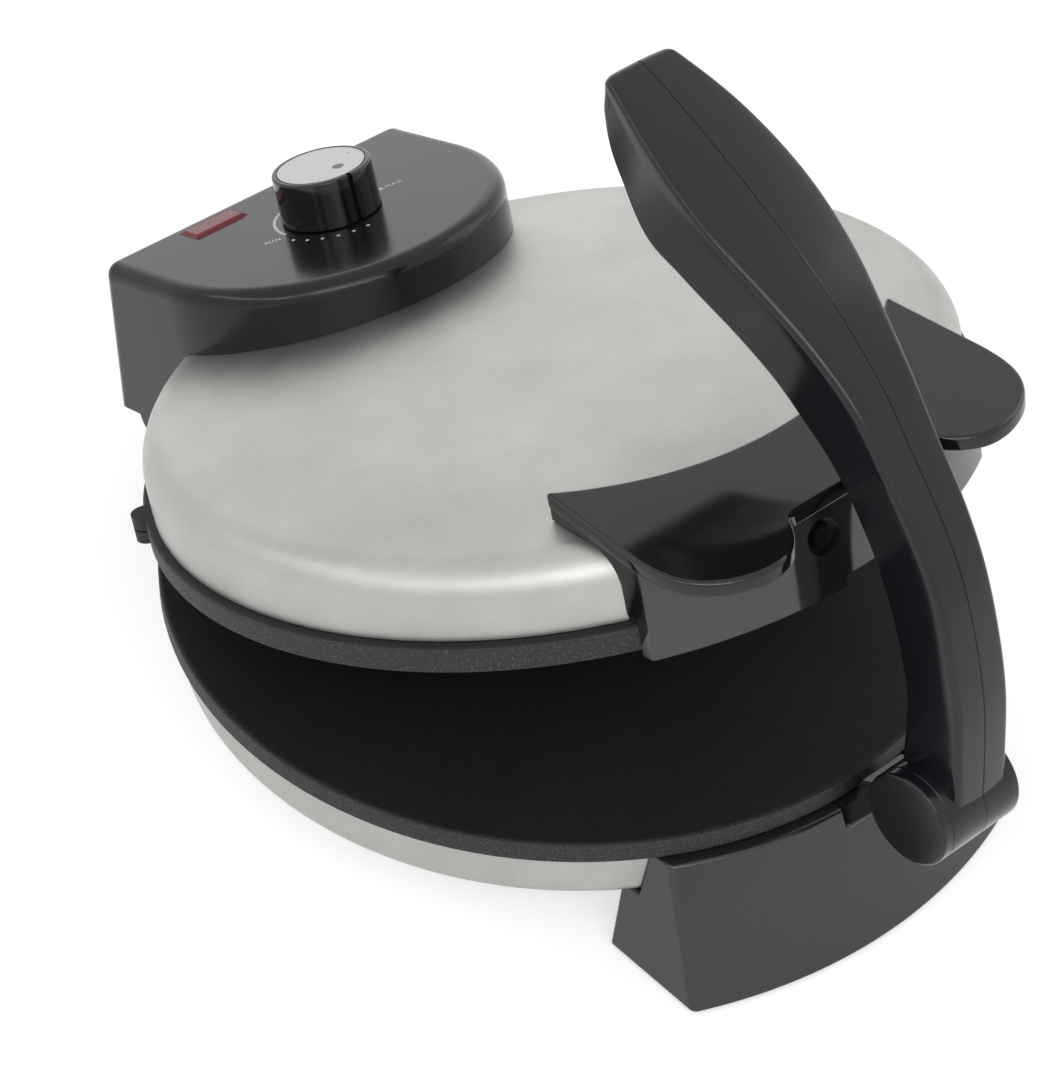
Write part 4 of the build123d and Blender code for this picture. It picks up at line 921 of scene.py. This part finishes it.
class ROTI_OT_dial(bpy.types.Operator):
    """Print the marks round the knob and put dark spots on its cap; the dimple's spot is painted shade"""

    bl_idname = "roti.dial"
    bl_label = "Dial print"

    def execute(self, context):
        dial = context.scene.roti_dial
        ring = dial.ring / MM
        for number, bearing in enumerate(np.linspace(-163.0, -94.0, 6)):
            centre = dial_point(dial, ring, bearing)
            circle = arc(centre, dial.dot / MM, 0, 360, 13)[:-1]
            decal(f"dial_dot_{number}", circle, [tuple(range(len(circle)))])
        line = np.stack(dial_point(dial, ring - 2.2, np.linspace(104, 180, 24)), axis=-1)
        outline, faces = band(line, 0.9)
        decal("dial_crescent", outline, faces)
        centre = np.array(dial_point(dial, ring - 1.5, -3.0))
        triangle = centre + np.array([(-1.1, -0.8), (1.1, -0.8), (0, 1.5)])
        decal("dial_triangle", triangle, [(0, 1, 2)])
        self.word(dial, "MIN", (-22.8, 90.9), -21.0)
        self.word(dial, "MAX", (20.8, 89.2), -13.0)
        # the dimple is a dark disc, painted shade in place of its hollow
        self.cap_spot("cap_dimple_painted_shade", (3.4, 85.6), 1.7)
        self.cap_spot("cap_dot", (11.2, 91.1), 0.3)
        return {"FINISHED"}

    def cap_spot(self, name, place, radius):
        """Dark round spot on the knob's cap, a low disc on the plane of its top; for the dimple this dark is painted
        shade in place of the hollow.
        """
        axis = np.array(lid_place((0.0, PANEL_SLOPE, 1.0)) - lid_place((0.0, 0.0, 0.0)))
        axis /= np.linalg.norm(axis)
        cap = frame["nodes"]["knob_cap"]
        top = max(np.dot(cap.matrix_world @ corner.co, axis) for corner in cap.data.vertices)
        circle = arc(place, radius, 0, 360, 25)[:-1]
        points = lid_place(np.column_stack([circle, np.full(len(circle), 60.0)]))
        points += axis * (top - points @ axis)[:, None]
        rings = np.array([points - axis * 0.0003, points + axis * 0.00004])
        vertices, faces = tube(rings, True)
        mesh = bpy.data.meshes.new(name)
        mesh.from_pydata(vertices.tolist(), [], faces)
        piece(name, finished(mesh), "knob", finish_of("gloss_black"))

    def word(self, dial, letters, start, turn):
        """Small capitals along a line that leaves a start point at an angle."""
        size = 1.7
        cos, sin = math.cos(math.radians(turn)), math.sin(math.radians(turn))
        at = 0.0
        for place, letter in enumerate(letters):
            for stroke, line in enumerate(STROKES[letter]):
                dense = np.array(line, float) * size
                dense[:, 0] += at
                turned_line = np.stack(
                    [start[0] + dense[:, 0] * cos - dense[:, 1] * sin, start[1] + dense[:, 0] * sin + dense[:, 1] * cos],
                    axis=-1,
                )
                for leg in range(len(turned_line) - 1):
                    outline, faces = band(turned_line[leg : leg + 2], 0.3)
                    decal(f"dial_{letters.lower()}_{place}_{stroke}_{leg}", outline, faces)
            at += size * 1.15 if letter != "I" else size * 0.75


class ROTI_OT_stage(bpy.types.Operator):
    """Floor, lamps, world and camera"""

    bl_idname = "roti.stage"
    bl_label = "Studio"

    def execute(self, context):
        studio = context.scene.roti_studio
        self.floor()
        self.lamp("key_softbox", (-0.55, -0.75, 1.05), (0.9, 0.7), studio.key)
        self.lamp("side_softbox", (1.1, -0.25, 0.75), (0.7, 0.9), studio.fill)
        self.lamp("rear_softbox", (0.75, 1.30, 0.45), (1.5, 0.9), studio.rear)
        self.lamp("front_strip", (-0.62, -0.68, 0.95), (1.6, 0.10), studio.strip)
        self.lamp("left_strip", (-1.10, 0.35, 0.90), (1.6, 0.10), studio.strip)
        self.world(studio.world)
        self.camera(context.scene.roti_camera)
        context.scene.view_settings.view_transform = "Standard"
        return {"FINISHED"}

    def floor(self):
        """Level sheet, 8 m square."""
        half = 4.0
        corners = [(-half, -half, 0), (half, -half, 0), (half, half, 0), (-half, half, 0)]
        mesh = bpy.data.meshes.new("floor")
        mesh.from_pydata(corners, [], [(0, 1, 2, 3)])
        mesh.materials.append(backdrop())
        floor = bpy.data.objects.new("floor", mesh)
        floor.location.z = -0.0002
        bpy.context.scene.collection.objects.link(floor)

    def lamp(self, name, place, size, power):
        """Softbox that faces the middle of the object."""
        light = bpy.data.lights.new(name, "AREA")
        light.shape = "RECTANGLE"
        light.size, light.size_y = size
        light.energy = power
        lamp = bpy.data.objects.new(name, light)
        lamp.location = place
        aim = Vector((0.0, 0.0, 0.08)) - Vector(place)
        lamp.rotation_euler = aim.to_track_quat("-Z", "Y").to_euler()
        bpy.context.scene.collection.objects.link(lamp)

    def world(self, strength):
        """White to the camera and in reflections, softer as light."""
        world = bpy.data.worlds.new("studio")
        bpy.context.scene.world = world
        world.use_nodes = True
        tree = world.node_tree
        tree.nodes.clear()
        path = tree.nodes.new("ShaderNodeLightPath")
        seen = tree.nodes.new("ShaderNodeMath")
        seen.operation = "MAXIMUM"
        tree.links.new(path.outputs["Is Camera Ray"], seen.inputs[0])
        tree.links.new(path.outputs["Is Glossy Ray"], seen.inputs[1])
        mix = tree.nodes.new("ShaderNodeMapRange")
        mix.inputs["To Min"].default_value = strength
        mix.inputs["To Max"].default_value = 1.0
        tree.links.new(seen.outputs[0], mix.inputs["Value"])
        back = tree.nodes.new("ShaderNodeBackground")
        back.inputs["Color"].default_value = (1.0, 1.0, 1.0, 1.0)
        tree.links.new(mix.outputs[0], back.inputs["Strength"])
        out = tree.nodes.new("ShaderNodeOutputWorld")
        tree.links.new(back.outputs[0], out.inputs["Surface"])

    def camera(self, view):
        """Camera at the photograph's place: sight line through azimuth and elevation, then roll and shift."""
        azimuth, elevation = view.azimuth, view.elevation
        back = Vector(
            (
                math.sin(azimuth) * math.cos(elevation),
                -math.cos(azimuth) * math.cos(elevation),
                math.sin(elevation),
            )
        )
        level = Vector((math.cos(azimuth), math.sin(azimuth), 0.0))
        upward = back.cross(level)
        right = level * math.cos(view.roll) + upward * math.sin(view.roll)
        up = upward * math.cos(view.roll) - level * math.sin(view.roll)
        data = bpy.data.cameras.new("photo_camera")
        data.lens = view.lens
        data.sensor_width = 36.0
        data.clip_end = 50.0
        camera = bpy.data.objects.new("photo_camera", data)
        middle = Vector((0.0, PLATE_BACK * MM, FACE_HEIGHT * MM))
        place = middle + back * view.distance + right * view.aside[0] + up * view.aside[1]
        camera.matrix_world = Matrix(
            (
                (right.x, up.x, back.x, place.x),
                (right.y, up.y, back.y, place.y),
                (right.z, up.z, back.z, place.z),
                (0, 0, 0, 1),
            )
        )
        bpy.context.scene.collection.objects.link(camera)
        bpy.context.scene.camera = camera


class ROTI_PT_looks(bpy.types.Panel):
    """Settings and steps of the looks"""

    bl_label = "Roti maker"
    bl_idname = "ROTI_PT_looks"
    bl_space_type = "VIEW_3D"
    bl_region_type = "UI"
    bl_category = "Roti maker"

    def draw(self, context):
        for group in (context.scene.roti_camera, context.scene.roti_studio, context.scene.roti_dial):
            box = self.layout.box()
            for name in group.__annotations__:
                box.prop(group, name)
        for step in STEPS:
            self.layout.operator(step)


GROUPS = {"roti_camera": RotiCamera, "roti_studio": RotiStudio, "roti_dial": RotiDial}
OPERATORS = (ROTI_OT_finishes, ROTI_OT_skins, ROTI_OT_lever, ROTI_OT_dial, ROTI_OT_stage)
STEPS = ("roti.finishes", "roti.skins", "roti.lever", "roti.dial", "roti.stage")


def register():
    """Add the classes and hang the settings on the scene."""
    for kind in (*GROUPS.values(), *OPERATORS, ROTI_PT_looks):
        bpy.utils.register_class(kind)
    for name, kind in GROUPS.items():
        setattr(bpy.types.Scene, name, bpy.props.PointerProperty(type=kind))


def unregister():
    """Take the settings and the classes away."""
    for name in GROUPS:
        delattr(bpy.types.Scene, name)
    for kind in reversed((*GROUPS.values(), *OPERATORS, ROTI_PT_looks)):
        bpy.utils.unregister_class(kind)


def main():
    """Dress the frame."""
    register()
    for step in STEPS:
        group, name = step.split(".")
        getattr(getattr(bpy.ops, group), name)()


if __name__ == "__main__":
    main()
